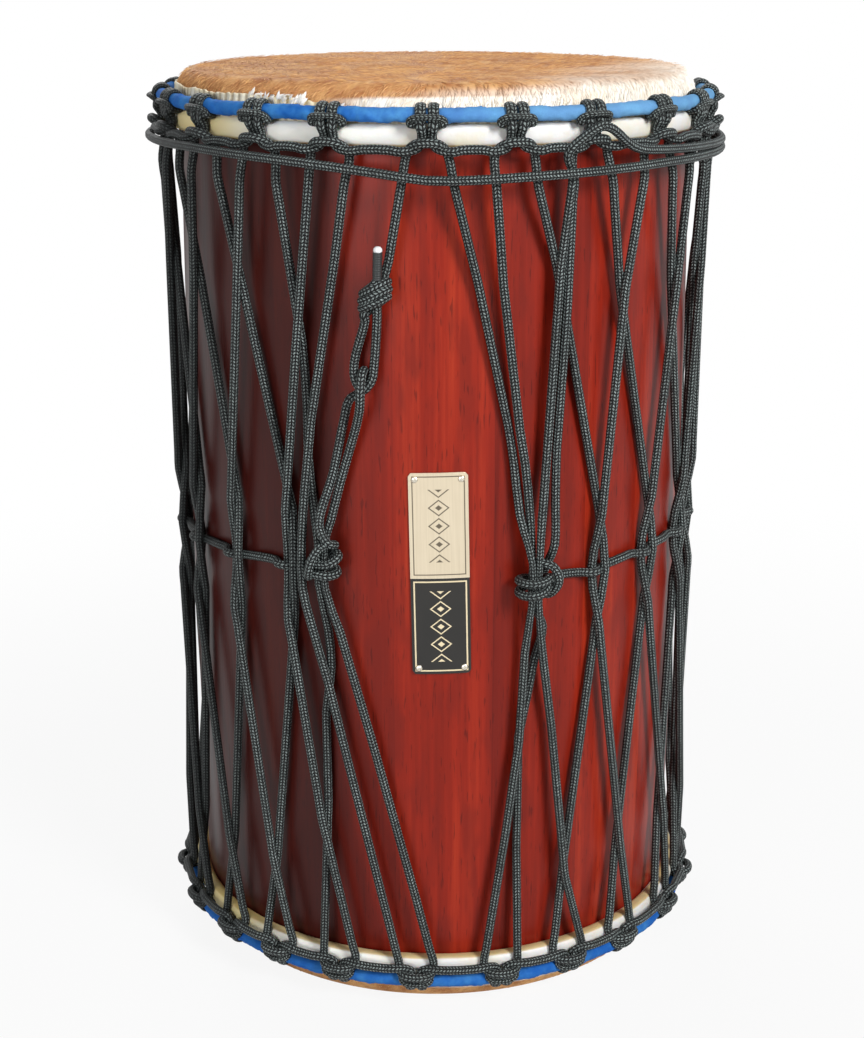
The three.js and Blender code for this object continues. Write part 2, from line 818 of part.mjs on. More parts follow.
// A nail, and the hole drilled for it, stand square to the shell
const nailCorners = [[-1, -1], [1, -1], [1, 1], [-1, 1]];
function standOnPlate(geometry, [acrossSide, upSide]) {
  const across = acrossSide * (plateWidth / 2 - nailInset);
  const up = upSide * (plateHeight / 2 - nailInset);
  const face = shellBellyRadius + seat + plateThickness + seat;
  const spot = onPlate(across, up, face);
  const outwards = new THREE.Vector3(spot.x, spot.y, 0).normalize();
  const turn = new THREE.Quaternion().setFromUnitVectors(new THREE.Vector3(0, 1, 0), outwards);
  return geometry.applyQuaternion(turn).translate(spot.x, spot.y, spot.z);
}

function nailGeometry(corner) {
  const dome = [[nailHeadRadius, 0], [nailHeadRadius * 0.8, nailHeadHeight * 0.7]];
  const profile = [
    [0, -nailLength],
    [nailShankRadius, nailPointLength - nailLength],
    [nailShankRadius, 0],
    ...dome,
    [0, nailHeadHeight],
  ].map(([radius, height]) => new THREE.Vector2(radius, height));
  return standOnPlate(new THREE.LatheGeometry(profile, nailSides), corner);
}

function nailHole(corner) {
  const depth = nailLength + nailHoleSpare;
  const radius = nailShankRadius + seat;
  const drill = new THREE.CylinderGeometry(radius, radius, 2 * depth, nailSides);
  return solidOf(standOnPlate(drill, corner));
}

function drilled(geometry) {
  let solid = solidOf(geometry);
  for (const corner of nailCorners) solid = solid.subtract(nailHole(corner));
  return geometryOf(solid);
}

const drum = new THREE.Group();

function add(name, geometry, material) {
  const mesh = new THREE.Mesh(geometry, material);
  mesh.name = name;
  drum.add(mesh);
}

add('shell', drilled(shellGeometry()), stainedWood);
for (const [name, end] of Object.entries({ top, bottom })) {
  add(`${name}_head`, hideGeometry(end), hide);
  add(`${name}_flesh_hoop`, hoopGeometry(end), steel);
  add(`${name}_pull_ring`, ringRodGeometry(end), steel);
  add(`${name}_ring_cloth`, ringClothGeometry(end), blueCloth);
  add(`${name}_cradle_rope`, ropeGeometry(cradleStations(end), true), blackRope);
}
add('lacing_rope', ropeGeometry(lacingStations()), blackRope);
add('collar_rope', ropeGeometry(collarStations()), blackRope);
add('badge_plate', drilled(plateGeometry()), plateMetal);
nailCorners.forEach((corner, i) => {
  add(`badge_nail_${i + 1}`, nailGeometry(corner), nailMetal);
});

export default drum;
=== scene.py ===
"""A sangban, the middle drum of a rope-tuned dunun set, dressed piece by piece.

Metres, +Z up, the floor at zero and the drum's badge plate towards -Y.
"""
import math
import bmesh
import bpy
from mathutils import Matrix, Vector, noise


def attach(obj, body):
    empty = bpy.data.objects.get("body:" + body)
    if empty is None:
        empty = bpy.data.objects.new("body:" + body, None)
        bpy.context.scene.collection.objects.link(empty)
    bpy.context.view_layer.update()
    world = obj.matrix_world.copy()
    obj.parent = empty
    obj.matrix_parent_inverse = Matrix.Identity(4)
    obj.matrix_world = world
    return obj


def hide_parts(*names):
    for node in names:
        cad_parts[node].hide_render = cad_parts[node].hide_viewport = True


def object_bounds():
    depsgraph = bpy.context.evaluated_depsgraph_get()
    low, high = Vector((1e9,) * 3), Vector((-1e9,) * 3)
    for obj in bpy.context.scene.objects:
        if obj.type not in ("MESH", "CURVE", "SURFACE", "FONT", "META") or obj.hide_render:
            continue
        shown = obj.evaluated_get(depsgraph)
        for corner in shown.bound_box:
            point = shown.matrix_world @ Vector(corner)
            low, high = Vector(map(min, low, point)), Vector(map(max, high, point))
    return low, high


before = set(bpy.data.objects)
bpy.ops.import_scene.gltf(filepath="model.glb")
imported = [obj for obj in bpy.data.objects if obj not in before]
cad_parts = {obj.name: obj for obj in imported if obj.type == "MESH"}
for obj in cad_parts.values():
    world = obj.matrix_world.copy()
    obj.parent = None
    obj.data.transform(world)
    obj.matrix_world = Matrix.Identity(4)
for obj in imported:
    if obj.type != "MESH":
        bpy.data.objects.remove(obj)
cad_low, cad_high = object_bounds()

# The room: a pale floor that runs out of sight, white air, a large soft lamp high on the
# right, a weaker one low on the left, and one behind the drum.
DRUM_HEIGHT = cad_high.z
FLOOR_SIZE = 60.0
AIR_LEVEL = 0.18
WHITE = (1, 1, 1, 1)


def set_inputs(made, inputs):
    """Links a wire or a socket to a node's input, or sets the input to a plain value."""
    for name, value in inputs.items():
        value = getattr(value, "socket", value)
        if isinstance(value, bpy.types.NodeSocket):
            made.id_data.links.new(value, made.inputs[name])
        else:
            made.inputs[name].default_value = value


def node(tree, kind, inputs=None, **settings):
    """One shader or geometry node, with its settings and its inputs."""
    made = tree.nodes.new(kind)
    for name, value in settings.items():
        setattr(made, name, value)
    set_inputs(made, inputs or {})
    return made


class Wire:
    """A value that runs through a node tree. Arithmetic with it adds Math nodes to the tree."""

    def __init__(self, made, output=0):
        self.tree = made.id_data
        self.socket = made.outputs[output]

    def math(self, operation, second=0.0):
        return Wire(node(self.tree, "ShaderNodeMath", {0: self, 1: second}, operation=operation))

    def __add__(self, other):
        return self.math("ADD", other)

    def __sub__(self, other):
        return self.math("SUBTRACT", other)

    def __rsub__(self, other):
        return Wire(node(self.tree, "ShaderNodeMath", {0: other, 1: self}, operation="SUBTRACT"))

    def __mul__(self, other):
        return self.math("MULTIPLY", other)

    def __abs__(self):
        return self.math("ABSOLUTE")

    def eased(self, low, high):
        """Nought below low, one above high, and a soft slope between them."""
        inputs = {"Value": self, "From Min": low, "From Max": high}
        return Wire(node(self.tree, "ShaderNodeMapRange", inputs, interpolation_type="SMOOTHSTEP"))

    def mix(self, first, second):
        """Two colours mixed, with this value as the second one's share."""
        inputs = {0: self, 6: first, 7: second}
        return Wire(node(self.tree, "ShaderNodeMix", inputs, data_type="RGBA"), 2)


class Finish:
    """A material under way: its tree, and the place on the piece that is shaded."""

    def __init__(self, name):
        self.material = bpy.data.materials.new(name)
        self.material.use_nodes = True
        self.tree = self.material.node_tree
        self.place = Wire(node(self.tree, "ShaderNodeTexCoord"), "Object")

    def made(self, inputs):
        """The material, once its shader's own inputs are set or linked."""
        set_inputs(self.tree.nodes["Principled BSDF"], inputs)
        return self.material


def in_scene(name, data):
    """An object in the scene for a mesh, lamp or camera."""
    made = bpy.data.objects.new(name, data)
    bpy.context.scene.collection.objects.link(made)
    return made


def seen_directly(tree, *rays):
    """One for camera rays and the rays named, nought for light on its way to the drum."""
    path = node(tree, "ShaderNodeLightPath")
    seen = Wire(path, "Is Camera Ray")
    for ray in rays:
        seen = seen.math("MAXIMUM", Wire(path, ray))
    return seen


def lay_floor():
    """Camera and mirrors see it almost as plain white, and it keeps the drum's shadow."""
    finish = Finish("pale_floor")
    material = finish.made({"Base Color": (0.62, 0.62, 0.62, 1), "Roughness": 0.9})
    tree = finish.tree
    away = node(tree, "ShaderNodeVectorMath", {0: finish.place}, operation="LENGTH")
    share = seen_directly(tree, "Is Glossy Ray") * (Wire(away, "Value").eased(0.3, 1.1) * 0.1 + 0.9)
    lit = Wire(tree.nodes["Principled BSDF"])
    plain = Wire(node(tree, "ShaderNodeEmission", {"Color": WHITE, "Strength": 1.0}))
    surface = Wire(node(tree, "ShaderNodeMixShader", {0: share, 1: lit, 2: plain}))
    set_inputs(tree.nodes["Material Output"], {"Surface": surface})
    half = FLOOR_SIZE / 2
    corners = [(-half, -half, 0), (half, -half, 0), (half, half, 0), (-half, half, 0)]
    mesh = bpy.data.meshes.new("floor")
    mesh.from_pydata(corners, [], [(0, 1, 2, 3)])
    mesh.materials.append(material)
    in_scene("floor", mesh)


def fill_air():
    world = bpy.data.worlds.new("white_air")
    bpy.context.scene.world = world
    world.use_nodes = True
    tree = world.node_tree
    tree.nodes.clear()
    seen = seen_directly(tree, "Is Glossy Ray", "Is Transmission Ray")
    strength = seen * (1 - AIR_LEVEL) + AIR_LEVEL
    air = Wire(node(tree, "ShaderNodeBackground", {"Color": WHITE, "Strength": strength}))
    node(tree, "ShaderNodeOutputWorld", {"Surface": air})


def hang_lamp(name, place, size, power):
    lamp = bpy.data.lights.new(name, "AREA")
    lamp.shape = "RECTANGLE"
    lamp.size, lamp.size_y = size
    lamp.energy = power
    holder = in_scene(name, lamp)
    holder.location = place
    aim = Vector((0, 0, DRUM_HEIGHT / 2)) - Vector(place)
    holder.rotation_euler = aim.to_track_quat("-Z", "Y").to_euler()


lay_floor()
fill_air()
hang_lamp("key_lamp", (1.5, -1.95, 1.7), (0.7, 1.0), 72)
hang_lamp("fill_lamp", (-1.3, -2.3, 0.8), (0.9, 0.7), 22)
hang_lamp("back_lamp", (-0.6, 1.9, 2.0), (1.4, 0.8), 30)
bpy.context.scene.view_settings.view_transform = "Standard"

# The camera stands 1.2 m in front of the drum and looks 17 degrees down at it. Its place and
# lens follow from the ellipses of the drum's two rings in the photograph.
camera_data = bpy.data.cameras.new("photo_camera")
camera_data.sensor_width = 36
camera_data.lens = 63.89
camera = in_scene("photo_camera", camera_data)
camera.location = (-0.0022, -1.2257, DRUM_HEIGHT + 0.0747)
camera.rotation_euler = (math.radians(90 - 17.33), 0, 0)
bpy.context.scene.camera = camera

# Shell: a barrel of staves glued edge to edge, turned to a slight belly with rounded bearing
# edges, stained red brown and lacquered. The grain runs up the staves.
SHELL_END_RADIUS = 0.1644
SHELL_BELLY = 0.0026
SHELL_INNER_RADIUS = 0.151
EDGE_ROUND_WIDTH = 0.011
EDGE_ROUND_HEIGHT = 0.015
EDGE_CENTRE_RADIUS = SHELL_END_RADIUS - EDGE_ROUND_WIDTH
CREST_DEPTH = 0.0016
INNER_BEVEL = 0.003
STAVES = 17
ROUND_SIDES = 256


def mesh_of(name, bm):
    """A mesh with its faces turned outwards."""
    bmesh.ops.recalc_face_normals(bm, faces=bm.faces)
    mesh = bpy.data.meshes.new(name)
    bm.to_mesh(mesh)
    bm.free()
    return mesh


def turned(name, profile, closed=False, sides=ROUND_SIDES, wobble=None):
    """A profile in radius and height turned round the drum's axis. A point on the axis is one
    vertex. wobble(angle, row, radius, height) may move a point of a row that isn't on it."""
    bm = bmesh.new()
    rows = []
    for row, (radius, height) in enumerate(profile):
        if radius < 1e-6:
            rows.append([bm.verts.new((0, 0, height))] * sides)
            continue
        ring = []
        for side in range(sides):
            angle = 2 * math.pi * side / sides
            r, z = wobble(angle, row, radius, height) if wobble else (radius, height)
            ring.append(bm.verts.new((r * math.sin(angle), -r * math.cos(angle), z)))
        rows.append(ring)
    for here, there in zip(rows, rows[1:] + (rows[:1] if closed else [])):
        for side in range(sides):
            after = (side + 1) % sides
            corners = [here[side], here[after], there[after], there[side]]
            bm.faces.new([c for i, c in enumerate(corners) if c not in corners[:i]])
    mesh = mesh_of(name, bm)
    mesh.shade_smooth()
    return in_scene(name, mesh)


def arc(centre, radii, start, end, steps):
    """Points in radius and height on an ellipse's arc, angles in degrees."""
    angles = [math.radians(start + (end - start) * i / steps) for i in range(steps + 1)]
    return [(centre[0] + radii[0] * math.cos(angle), centre[1] + radii[1] * math.sin(angle))
            for angle in angles]


def placed(piece, material, slot, *nodes):
    """The piece gets its material, rides on the drum and stands for CAD nodes."""
    piece.data.materials.clear()
    piece.data.materials.append(material)
    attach(piece, "root")
    if nodes:
        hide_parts(*nodes)
    return piece


def shell_profile():
    crest = DRUM_HEIGHT - CREST_DEPTH
    upper = arc((EDGE_CENTRE_RADIUS, crest - EDGE_ROUND_HEIGHT),
                (EDGE_ROUND_WIDTH, EDGE_ROUND_HEIGHT), 0, 90, 8)
    lower = [(radius, DRUM_HEIGHT - height) for radius, height in reversed(upper)]
    half = DRUM_HEIGHT / 2 - CREST_DEPTH - EDGE_ROUND_HEIGHT
    shares = [i / 8 - 1 for i in range(1, 16)]
    side = [(SHELL_END_RADIUS + SHELL_BELLY * (1 - share * share), DRUM_HEIGHT / 2 + share * half)
            for share in shares]
    bore = [(SHELL_INNER_RADIUS, crest - INNER_BEVEL),
            (SHELL_INNER_RADIUS, CREST_DEPTH + INNER_BEVEL)]
    return lower + side + upper + bore


def ink(red, green, blue):
    """A colour named by its screen values, 0 to 255."""
    shares = [value / 255 for value in (red, green, blue)]
    return (*(share / 12.92 if share <= 0.04045 else ((share + 0.055) / 1.055) ** 2.4
              for share in shares), 1.0)


def speckle(place, scale, detail=2.0, roughness=0.5, stretch=(1, 1, 1)):
    """Soft noise at a place, its grains drawn out along an axis by a small stretch value."""
    spot = Wire(node(place.tree, "ShaderNodeMapping", {"Vector": place, "Scale": stretch}))
    inputs = {"Vector": spot, "Scale": scale, "Detail": detail, "Roughness": roughness}
    return Wire(node(place.tree, "ShaderNodeTexNoise", inputs), "Fac")


def relief(height, depth):
    """A bump from a height of 0 to 1, so many metres deep."""
    inputs = {"Height": height, "Distance": depth, "Strength": 1.0}
    return Wire(node(height.tree, "ShaderNodeBump", inputs), "Normal")


def axes(place):
    """The parts of a place along x, y and z."""
    parts = node(place.tree, "ShaderNodeSeparateXYZ", {0: place})
    return [Wire(parts, axis) for axis in range(3)]


def angle_round_drum(place):
    """In radians, nought at the front and growing to the right."""
    x, y, _ = axes(place)
    return x.math("ARCTAN2", y * -1)


def stained_wood():
    """Each stave has its own tone, and the drum's left side is darkened with painted shade."""
    finish = Finish("stained_wood")
    place = finish.place
    angle = angle_round_drum(place)
    turns = angle * (STAVES / (2 * math.pi)) + (STAVES + 0.42)
    stave = node(finish.tree, "ShaderNodeTexWhiteNoise", {"W": turns.math("FLOOR")},
                 noise_dimensions="1D")
    seam = abs(turns.math("FRACT") - 0.5).eased(0.487, 0.5)
    bands = speckle(place, 38, 3, 0.6, (1, 1, 0.03))
    clouds = speckle(place, 9, 3, 0.55, (1, 1, 0.35))
    streaks = speckle(place, 420, 3, 0.6, (1, 1, 0.022))
    pores = speckle(place, 800, 1, 0.5, (1, 1, 0.09))
    flame = speckle(place, 95, 2, 0.5, (1, 1, 0.22))
    tone = Wire(stave, "Value") * 0.12 + bands * 0.55 + clouds * 0.35 + streaks * 0.22 - 0.17
    colour = tone.eased(0.16, 0.62).mix(ink(80, 13, 6), ink(147, 35, 17))
    colour = tone.eased(0.46, 0.8).mix(colour, ink(182, 66, 34))
    colour = (flame.eased(0.46, 0.68) * 0.6).mix(colour, ink(110, 26, 16))
    colour = (pores.eased(0.63, 0.72) * 0.5).mix(colour, ink(62, 14, 10))
    colour = (seam * 0.2).mix(colour, ink(64, 15, 11))
    # Painted shade: the wood darkens towards the drum's left side, away from the key lamp.
    left = angle.eased(-0.2, -0.46) * angle.eased(-2.3, -1.5)
    colour = (left * 0.86).mix(colour, ink(40, 15, 13))
    return finish.made({"Base Color": colour, "Roughness": streaks * 0.16 + 0.3,
                        "Normal": relief(streaks, 0.00008), "Specular IOR Level": 0.18,
                        "Coat Weight": 0.05, "Coat Roughness": 0.2})


shell = turned("lacquered_shell", shell_profile(), closed=True)
placed(shell, stained_wood(), "stained_wood", "shell")

# Heads: a cowhide with its hair on, soaked and drawn over each bearing edge and down the
# shell's side, then folded under and round a steel hoop. The fold shows its bare flesh side.
HIDE_THICKNESS = 0.0013
SEAT = 0.0003
HOOP_ROD_RADIUS = 0.003
PULL_RING_RADIUS = 0.1756
HIDE_SIDE_RADIUS = SHELL_END_RADIUS + SEAT + HIDE_THICKNESS
HOOP_RADIUS = HIDE_SIDE_RADIUS + SEAT + HOOP_ROD_RADIUS
FOLD_RADIUS = HOOP_ROD_RADIUS + SEAT + HIDE_THICKNESS
HITCHES = 22
HITCH_PITCH = 360 / HITCHES
HITCH_SPREAD = math.radians(2.6)
HITCH_SQUEEZE = 0.32
SQUEEZED_STRIP = 0.008
HIDE_LUMPS_OUT = 0.0004
HIDE_LUMPS_DOWN = 0.0005
FOLD_SHAPE = 3
BARE_SIDE_BEGINS = 0.0035

# Each end of the drum. Heights count from the pull ring's centre towards the drum's middle,
# and the nudges are degrees by which front hitches sit off their even places.
TOP = {
    "name": "top", "side": 1, "hide_past_ring": 0.0165, "ring_to_hoop": 0.0118, "phase": -1.6,
    "fold_height": 0.0064, "hair_length": 0.006, "hair_reach": 1.0,
    "nudges": {2: -0.7, 3: 0.9, 4: 1.6, 19: -1.1, 20: -1.4, 21: -2.1},
}
BOTTOM = {
    "name": "bottom", "side": -1, "hide_past_ring": 0.022, "ring_to_hoop": 0.0092, "phase": -2.8,
    "fold_height": 0.0056, "hair_length": 0.0036, "hair_reach": 0.0185,
    "nudges": {0: -1.2, 1: 0.4, 2: -0.3, 3: -1.6, 17: 1, 18: 2, 19: 1.6, 20: -0.4, 21: -1.6},
}


def height_at(end, inwards):
    face = DRUM_HEIGHT if end["side"] > 0 else 0
    return face - end["side"] * (end["hide_past_ring"] + inwards)


def past_ring(end, height):
    """How far a height lies beyond the pull ring, away from the drum's middle."""
    return end["side"] * (height - height_at(end, 0))


def hitch_angle(end, index):
    return end["phase"] + HITCH_PITCH * index + end["nudges"].get(index % HITCHES, 0)


def hitch_nearness(end, angle):
    """One where the strands of a hitch press on the hide, nought between the hitches."""
    degrees = math.degrees(angle)
    index = round((degrees - end["phase"]) / HITCH_PITCH)
    nearest = min(abs((degrees - hitch_angle(end, index + step) + 180) % 360 - 180)
                  for step in (-1, 0, 1))
    return 1 / (1 + (math.radians(nearest) / HITCH_SPREAD) ** 4)


def limited(value):
    return max(0.0, min(1.0, value))


def lumps(angle, scale, level):
    """Smooth noise round the drum, from about -1 to 1."""
    return noise.noise(Vector((scale * math.sin(angle), scale * math.cos(angle), level)))


def membrane_profile(end):
    """The hide from its middle over the edge, down the side, round the hoop and back."""
    past = end["hide_past_ring"]

    def over_edge(offset):
        return arc((EDGE_CENTRE_RADIUS, past - CREST_DEPTH - EDGE_ROUND_HEIGHT),
                   (EDGE_ROUND_WIDTH + offset, EDGE_ROUND_HEIGHT + offset), 90, 0, 14)

    def round_hoop(width, height):
        """The fold's section is flat in front, like a letter D."""
        spots = []
        for radius, level in arc((0, 0), (1, 1), 180, 440, 26):
            rounder = abs(radius) ** FOLD_SHAPE + abs(level) ** FOLD_SHAPE
            flatter = 1 / rounder ** (1 / FOLD_SHAPE)
            spots.append((HOOP_RADIUS + width * radius * flatter,
                          height * level * flatter - end["ring_to_hoop"]))
        return spots

    def one_side(offset, out, width, height):
        flat = [(EDGE_CENTRE_RADIUS * i / 10, out) for i in range(10)]
        return flat + over_edge(offset) + round_hoop(width, height)
    hair_side = one_side(SEAT + HIDE_THICKNESS, past, HOOP_ROD_RADIUS + SEAT,
                         end["fold_height"] - HIDE_THICKNESS)
    flesh_side = one_side(SEAT, past - HIDE_THICKNESS, FOLD_RADIUS, end["fold_height"])
    return hair_side + flesh_side[::-1]


def membrane(end):
    """The drum skin, dented where the hitches pull on it and never quite flat."""
    def settled(angle, row, radius, height):
        out = past_ring(end, height)
        low = limited((-out - 0.006) / 0.008)
        lump = lumps(angle, 6, 3 * end["side"])
        from_hoop = out + end["ring_to_hoop"]
        squeeze = 0
        if 0 < from_hoop < SQUEEZED_STRIP:
            squeeze = HITCH_SQUEEZE * from_hoop * hitch_nearness(end, angle)
        return (radius + HIDE_LUMPS_OUT * lump * low,
                height + HIDE_LUMPS_DOWN * lump * low - end["side"] * squeeze)
    profile = [(radius, height_at(end, -out)) for radius, out in membrane_profile(end)]
    return turned(end["name"] + "_membrane", profile, sides=440, wobble=settled)


def hide_tone(place):
    """Red tan on the left, near white on the front right, mottled like a cow's coat."""
    x, y, z = axes(place)
    middle = abs(z - DRUM_HEIGHT / 2)
    top_face = middle.eased(DRUM_HEIGHT / 2 - 0.006, DRUM_HEIGHT / 2 - 0.0005)
    low = middle.eased(DRUM_HEIGHT / 2 - 0.0065, DRUM_HEIGHT / 2 - 0.0105) * x.eased(-0.085, -0.02)
    lower_end = z.math("LESS_THAN", DRUM_HEIGHT / 2)
    lean = speckle(place, 9, 3, 0.6) + x * 3.2 - y * 1.2 - top_face * 0.25 + low * 0.8
    return (lean - lower_end * 0.75).eased(0.5, 1.1)


def coat_colour(place, tone):
    """The colour of the hair at a place, darker or lighter by a tone of 0 to 1."""
    red = tone.mix(ink(164, 100, 57), ink(226, 176, 116))
    cream = tone.mix(ink(244, 230, 208), ink(254, 253, 250))
    return hide_tone(place).mix(red, cream)


def hairy_hide():
    finish = Finish("hairy_hide")
    mottle = speckle(finish.place, 42, 4, 0.65).eased(0.3, 0.72)
    strokes = speckle(finish.place, 900, 3, 0.7, (1, 1, 0.35))
    return finish.made({"Base Color": coat_colour(finish.place, mottle), "Roughness": 0.75,
                        "Normal": relief(strokes, 0.0005), "Specular IOR Level": 0.3})


def bare_hide():
    """The flesh side: cream, with a yellow rim where the fold turns under. Towards the left it is
    painted whiter as painted light, and at the far left tinted yellow as painted shade.
    """
    finish = Finish("bare_hide")
    x, _, height = axes(finish.place)
    top_low = height_at(TOP, TOP["ring_to_hoop"] + TOP["fold_height"])
    bottom_high = height_at(BOTTOM, BOTTOM["ring_to_hoop"] + BOTTOM["fold_height"])
    below = height.math("LESS_THAN", DRUM_HEIGHT / 2)
    rim = (height.eased(bottom_high - 0.0013, bottom_high - 0.0003) * below
           + height.eased(top_low + 0.002, top_low + 0.0006) * (1 - below))
    stain = speckle(finish.place, 30, 4, 0.6).eased(0.42, 0.72)
    colour = stain.mix(ink(228, 226, 224), ink(226, 218, 196))
    # Painted light: the flesh side is whitened towards the drum's left, where it lies in shade.
    colour = x.eased(-0.01, -0.07).mix(colour, ink(255, 252, 244))
    # Painted shade: a yellow tint at the far left stands for the shade there.
    colour = (x.eased(-0.095, -0.135) * 0.85).mix(colour, ink(246, 222, 150))
    colour = (rim * 0.8).mix(colour, ink(196, 168, 92))
    return finish.made({"Base Color": colour, "Roughness": 0.5,
                        "Normal": relief(speckle(finish.place, 260, 3), 0.0003),
                        "Subsurface Weight": 0.08, "Subsurface Scale": 0.004})


hide_finish = hairy_hide()
fold_finish = bare_hide()


def two_sided_hide(end):
    """Hair above the pull ring, the bare side on the fold round the hoop."""
    skin = placed(membrane(end), hide_finish, "hide", end["name"] + "_head")
    skin.data.materials.append(fold_finish)
    for polygon in skin.data.polygons:
        out = past_ring(end, polygon.center.z)
        across = math.hypot(polygon.center.x, polygon.center.y)
        bare = out < -BARE_SIDE_BEGINS and across > HIDE_SIDE_RADIUS + 0.0005
        polygon.material_index = 1 if bare else 0
    return skin


heads = {end["name"]: two_sided_hide(end) for end in (TOP, BOTTOM)}

# Coat: short cow hair in small locks, swirled over the playing face and combed down the side.
# Each lock is a thin curved blade; the locks are scattered over the hair side of the hide.
LOCKS_PER_SQUARE_METRE = 330000
FACE_SHARE = 0.27
EDGE_BEGINS = 0.152


def hair_lock(name, width):
    """A blade one unit long, pointed at both ends and lifted off the skin in its middle."""
    bm = bmesh.new()
    root = bm.verts.new((0, 0, -0.02))
    tip = bm.verts.new((1, 0.06, 0.05))
    rings = [[bm.verts.new((along, -half_width, lift)), bm.verts.new((along, half_width, lift)),
              bm.verts.new((along, 0, lift + 0.03))]
             for along, half_width, lift in ((0.3, width / 2, 0.045), (0.68, 0.4 * width, 0.07))]
    for side in range(3):
        after = (side + 1) % 3
        bm.faces.new((root, rings[0][after], rings[0][side]))
        bm.faces.new((rings[0][side], rings[0][after], rings[1][after], rings[1][side]))
        bm.faces.new((rings[1][side], rings[1][after], tip))
    return bpy.data.objects.new(name, mesh_of(name, bm))


def geometry_tree(name, inputs):
    """A Geometry Nodes tree that takes and gives geometry, and the sockets of its named inputs."""
    tree = bpy.data.node_groups.new(name, "GeometryNodeTree")
    for label, kind in {"Geometry": "Geometry", **inputs}.items():
        tree.interface.new_socket(label, in_out="INPUT", socket_type="NodeSocket" + kind)
    tree.interface.new_socket("Geometry", in_out="OUTPUT", socket_type="NodeSocketGeometry")
    return tree, node(tree, "NodeGroupInput").outputs


def finished_tree(tree, geometry, material):
    """The tree ends with its instances made real and its material set."""
    solid = Wire(node(tree, "GeometryNodeRealizeInstances", {"Geometry": geometry}))
    dressed = node(tree, "GeometryNodeSetMaterial", {"Geometry": solid, "Material": material})
    node(tree, "NodeGroupOutput", {0: Wire(dressed)})
    return tree


def hair_scatter():
    """Geometry Nodes tree: locks on a skin, as thick as its coat and along its lay."""
    tree, given = geometry_tree("hair_scatter", {"Lock": "Object", "Density": "Float",
                                                 "Length": "Float", "Hair": "Material"})

    def stored(name, kind):
        return Wire(node(tree, "GeometryNodeInputNamedAttribute", {"Name": name}, data_type=kind),
                    "Attribute")

    def chance(inputs, kind, output):
        return Wire(node(tree, "FunctionNodeRandomValue", inputs, data_type=kind), output)
    spots = node(tree, "GeometryNodeDistributePointsOnFaces",
                 {"Mesh": given["Geometry"], "Density": stored("coat", "FLOAT") * given["Density"],
                  "Seed": 4})
    upright = node(tree, "FunctionNodeAlignRotationToVector",
                   {"Vector": spots.outputs["Normal"]}, axis="Z")
    combed = node(tree, "FunctionNodeAlignRotationToVector",
                  {"Rotation": Wire(upright), "Vector": stored("lay", "FLOAT_VECTOR")},
                  axis="X", pivot_axis="Z")
    stray = chance({0: (-0.05, -0.08, -0.5), 1: (0.05, 0.04, 0.5), "Seed": 7}, "FLOAT_VECTOR", 0)
    turn = node(tree, "FunctionNodeEulerToRotation", {0: stray})
    loose = node(tree, "FunctionNodeRotateRotation",
                 {"Rotation": Wire(combed), "Rotate By": Wire(turn)}, rotation_space="LOCAL")
    blade = node(tree, "GeometryNodeObjectInfo", {"Object": given["Lock"]})
    length = chance({2: 0.65, 3: 1.25, "Seed": 11}, "FLOAT", 1) * given["Length"]
    locks = node(tree, "GeometryNodeInstanceOnPoints",
                 {"Points": spots.outputs["Points"], "Instance": blade.outputs["Geometry"],
                  "Rotation": Wire(loose), "Scale": length})
    toned = node(tree, "GeometryNodeStoreNamedAttribute",
                 {"Geometry": Wire(locks), "Name": "tone",
                  "Value": chance({2: 0.0, 3: 1.0, "Seed": 3}, "FLOAT", 1)},
                 data_type="FLOAT", domain="INSTANCE")
    return finished_tree(tree, Wire(toned), given["Hair"])


def made_by(tree, piece, **inputs):
    """Runs a Geometry Nodes tree on a piece and keeps the result as its plain mesh."""
    modifier = piece.modifiers.new("making", "NODES")
    modifier.node_group = tree
    for item in tree.interface.items_tree:
        name = item.name.replace(" ", "_").lower()
        if item.in_out == "INPUT" and name in inputs:
            modifier[item.identifier] = inputs[name]
    seen = piece.evaluated_get(bpy.context.evaluated_depsgraph_get())
    mesh = bpy.data.meshes.new_from_object(seen)
    mesh.name = piece.name
    piece.modifiers.remove(modifier)
    piece.data = mesh
    return piece


def with_attribute(mesh, name, kind, values):
    """A value for every vertex, kept under a name."""
    kept = mesh.attributes.new(name, kind, "POINT")
    kept.data.foreach_set("value" if kind == "FLOAT" else "vector", values)


def hair_grown_on(name, skin, coat_and_lay, lock, density, length, material):
    """Hair on a copy of a skin; coat_and_lay(vertex) says how thick it grows and which way."""
    bed = in_scene(name, skin.data.copy())
    found = [coat_and_lay(vertex) for vertex in bed.data.vertices]
    with_attribute(bed.data, "coat", "FLOAT", [coat for coat, _ in found])
    with_attribute(bed.data, "lay", "FLOAT_VECTOR", [part for _, lay in found for part in lay])
    made_by(scatter, bed, lock=lock, density=density, length=length, hair=material)
    return placed(bed, material, "hide")


def away_from_axis(spot):
    return Vector((spot.x, spot.y, 0)).normalized()


